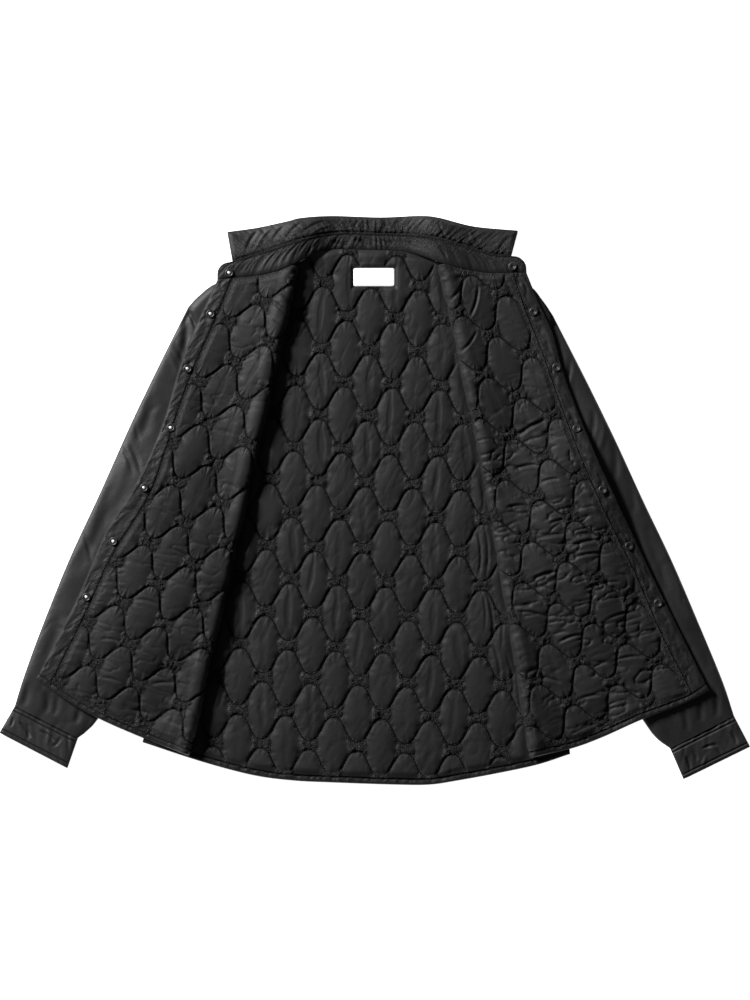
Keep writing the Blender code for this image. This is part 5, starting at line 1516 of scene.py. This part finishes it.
def turned_shape(profile):
    """Points and faces of a profile turned round the upright axis."""
    turns = np.arange(SNAP_SIDES) * 2 * np.pi / SNAP_SIDES
    points, faces = [(0, 0, profile[0][1])], []
    for radius, height in profile[1:-1]:
        points += [(radius * math.cos(t), radius * math.sin(t), height) for t in turns]
    points.append((0, 0, profile[-1][1]))
    last = len(points) - 1
    for k in range(SNAP_SIDES):
        n = (k + 1) % SNAP_SIDES
        faces.append((0, 1 + k, 1 + n))
        for ring in range(len(profile) - 3):
            a = 1 + ring * SNAP_SIDES
            faces.append((a + k, a + SNAP_SIDES + k, a + SNAP_SIDES + n, a + n))
        a = last - SNAP_SIDES
        faces.append((a + n, a + k, last))
    return np.array(points), faces


def snaps(front, finish):
    """The row of snap halves, each where its solid stands."""
    half = "socket" if front.name == "left" else "post"
    points, faces = turned_shape(SNAP_PROFILE[half])
    for number in range(1, len(front.c["snaps"]) + 1):
        node = f"snap_{front.name}_{number}"
        solid = np.array([v.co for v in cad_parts[node].data.vertices]) / MM
        centre = solid.mean(0)
        plane = solid - centre
        axis = np.linalg.eigh(plane.T @ plane)[1][:, 0]
        axis = axis * np.sign(axis[2])
        along = plane @ axis
        seat = centre + axis * along.min()
        seat[:2] = (solid[:, :2].min(0) + solid[:, :2].max(0)) / 2
        turn = Vector((0, 0, 1)).rotation_difference(Vector(axis)).to_matrix()
        placed = points @ np.array(turn).T + seat
        # Painted highlight: the middle of a post takes the lighter bare metal
        middle = np.linalg.norm(points[:, :2], axis=1) < BARE_METAL_HIGHLIGHT[half]
        made = make(f"{node}_turned", placed, faces, finish,
                    dict(bare_metal_highlight=middle & (points[:, 2] > 0.5)))
        made.data.set_sharp_from_angle(angle=math.radians(60))
        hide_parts(node)


# ---- stitching

RUN_WAVES = np.arange(-9, 9, 0.02)    # along a stitch line, past both sides of any panel
RUN_ROWS = range(-14, 15)


def quilt_runs(quilting, keep, lay):
    """Lines of space points along a panel's quilting, where keep says so."""
    runs = []
    for row in RUN_ROWS:
        line = quilting.stitch_row(np.full(len(RUN_WAVES), row), RUN_WAVES)
        plan = quilting.plan(RUN_WAVES, line)
        good = keep(plan)
        for part in np.split(np.arange(len(plan)), np.flatnonzero(~good)):
            part = part[good[part]]
            if len(part) > 4:
                runs.append(lay(plan[part]))
    return runs


def facing_runs(front):
    """The stitch lines along both sides of a front's facing."""
    middle = (front.sides["cf"].mean(0) + front.sides["seam"].mean(0)) / 2
    runs = []
    for key, inset in FACING_STITCH.items():
        line = front.sides[key]
        line = spaced(line, int(length_of(line) / 3))
        inner = min((moved(line, way * inset) for way in (1, -1)),
                    key=lambda run: np.linalg.norm(run.mean(0) - middle))
        runs.append(front.lay(inner, LINING + PLACKET - 0.5))
    return runs


def sewing(fronts, back_quilting, stand_top, label_run, dark, white):
    """All thread that shows."""
    neck, hem = smooth(BACK_NECK), smooth(BACK_HEM)

    def on_back(plan):
        x, y = plan.T
        free = (back_bare(fronts, plan) > 0.6) & (beyond_label(plan, 3) > 0)
        return free & (y < np.interp(x, *neck.T) - 6) & (y > np.interp(x, *hem.T) + HEM_WIDTH + 3)

    def at_back(plan):
        return np.column_stack([plan, np.full(len(plan), Z_BACK + THREAD_LIFT)])

    stitches("stitches_back", quilt_runs(back_quilting, on_back, at_back), dark)
    for front in fronts:
        def on_front(plan):
            out, down = front.unroll(plan).T
            seam, turned = front.sides["seam"], front.tops["turned"]
            rim = np.interp(down, seam[:, 1], seam[:, 0])
            low = np.interp(-out, -front.inset[:, 0], front.inset[:, 1])
            high = np.interp(-out, -turned[:, 0], turned[:, 1])
            return (out > 2) & (out < rim - 4) & (down < low - 3) & (down > high + 5)

        def at_front(plan):
            return front.lay(front.unroll(plan), LINING + THREAD_LIFT)

        runs = quilt_runs(front.quilting, on_front, at_front) + facing_runs(front)
        stitches(f"stitches_{front.name}", runs, dark)
    stitches("stitches_collar", [stand_top[4] + (0, 0, 0.2)], dark)
    stitches("stitches_label", [label_run], white, long=2.0, gap=0.7, thick=0.3)


# ---- light and camera

FLOOR_SIZE = 9         # metres, as all lengths of the room
KEY_PLACE, KEY_SIZE, KEY_POWER = (-3.3, 2.5, 2.2), 1.1, 560
VIEW_HEIGHT = 1.44     # from the top to the bottom of the picture
VIEW_CENTRE = (0.0004, 0.0004)
LENS, SENSOR = 200.0, 36.0


def key_light():
    """Soft light from the upper left, aimed at the middle of the garment."""
    data = bpy.data.lights.new("key", "AREA")
    data.shape = "RECTANGLE"
    data.size = data.size_y = KEY_SIZE
    data.energy = KEY_POWER
    made = bpy.data.objects.new("key", data)
    made.location = KEY_PLACE
    made.rotation_euler = (-Vector(KEY_PLACE)).to_track_quat("-Z", "Y").to_euler()
    bpy.context.scene.collection.objects.link(made)


def studio():
    """A pale floor with a key light and a dim white world round it."""
    bpy.ops.mesh.primitive_plane_add(size=FLOOR_SIZE, location=(0, 0, -0.0006))
    floor = bpy.context.object
    floor.name = "floor"
    made, tree, shader = nodes_of("floor_paper")
    fill(tree, shader, Base_Color=(0.9, 0.9, 0.9, 1), Roughness=0.9, Specular_IOR_Level=0.1,
         Emission_Color=(1, 1, 1, 1), Emission_Strength=1.0)
    floor.data.materials.append(made)
    key_light()
    world = bpy.data.worlds.new("studio")
    world.use_nodes = True
    fill(world.node_tree, world.node_tree.nodes["Background"], Color=(1, 1, 1, 1), Strength=0.06)
    bpy.context.scene.world = world
    bpy.context.scene.view_settings.view_transform = "Standard"


def camera():
    """A camera straight above the garment."""
    data = bpy.data.cameras.new("camera")
    data.sensor_fit = "VERTICAL"
    data.sensor_height = SENSOR
    data.lens = LENS
    data.clip_end = 60
    made = bpy.data.objects.new("camera", data)
    made.location = (*VIEW_CENTRE, VIEW_HEIGHT * LENS / SENSOR)
    bpy.context.scene.collection.objects.link(made)
    bpy.context.scene.camera = made


# ---- assembly

def main():
    camera()
    studio()
    lining = {name: nylon(f"lining_nylon_{name}", *NYLONS["lining"], quilting=Quilting(name))
              for name in QUILTING}
    # The collar's finish is a darker copy of the shell's nylon: painted shade.
    outer, gathered, binding = (nylon(f"{key}_nylon", *NYLONS[key])
                                for key in ("shell", "collar", "binding"))
    dark = thread_finish("black_thread", (0.004, 0.004, 0.004))
    white = thread_finish("white_thread", (0.75, 0.75, 0.74))
    fronts = [Front("right"), Front("left")]
    quilting = back(fronts, lining["back"], outer, binding)
    for front in fronts:
        front_shell(front, outer)
        front_lining(front, lining[front.name])
        placket(front, binding)
        front_hem(front, binding)
        sleeve(front, outer)
        cuff(front, outer)
    stand_top = collar(fronts, gathered)
    label_run = label(satin_label())
    metal = enamel("snap_enamel", 0.014, 0.05)
    for front in fronts:
        snaps(front, metal)
    sewing(fronts, quilting, stand_top, label_run, dark, white)


main()
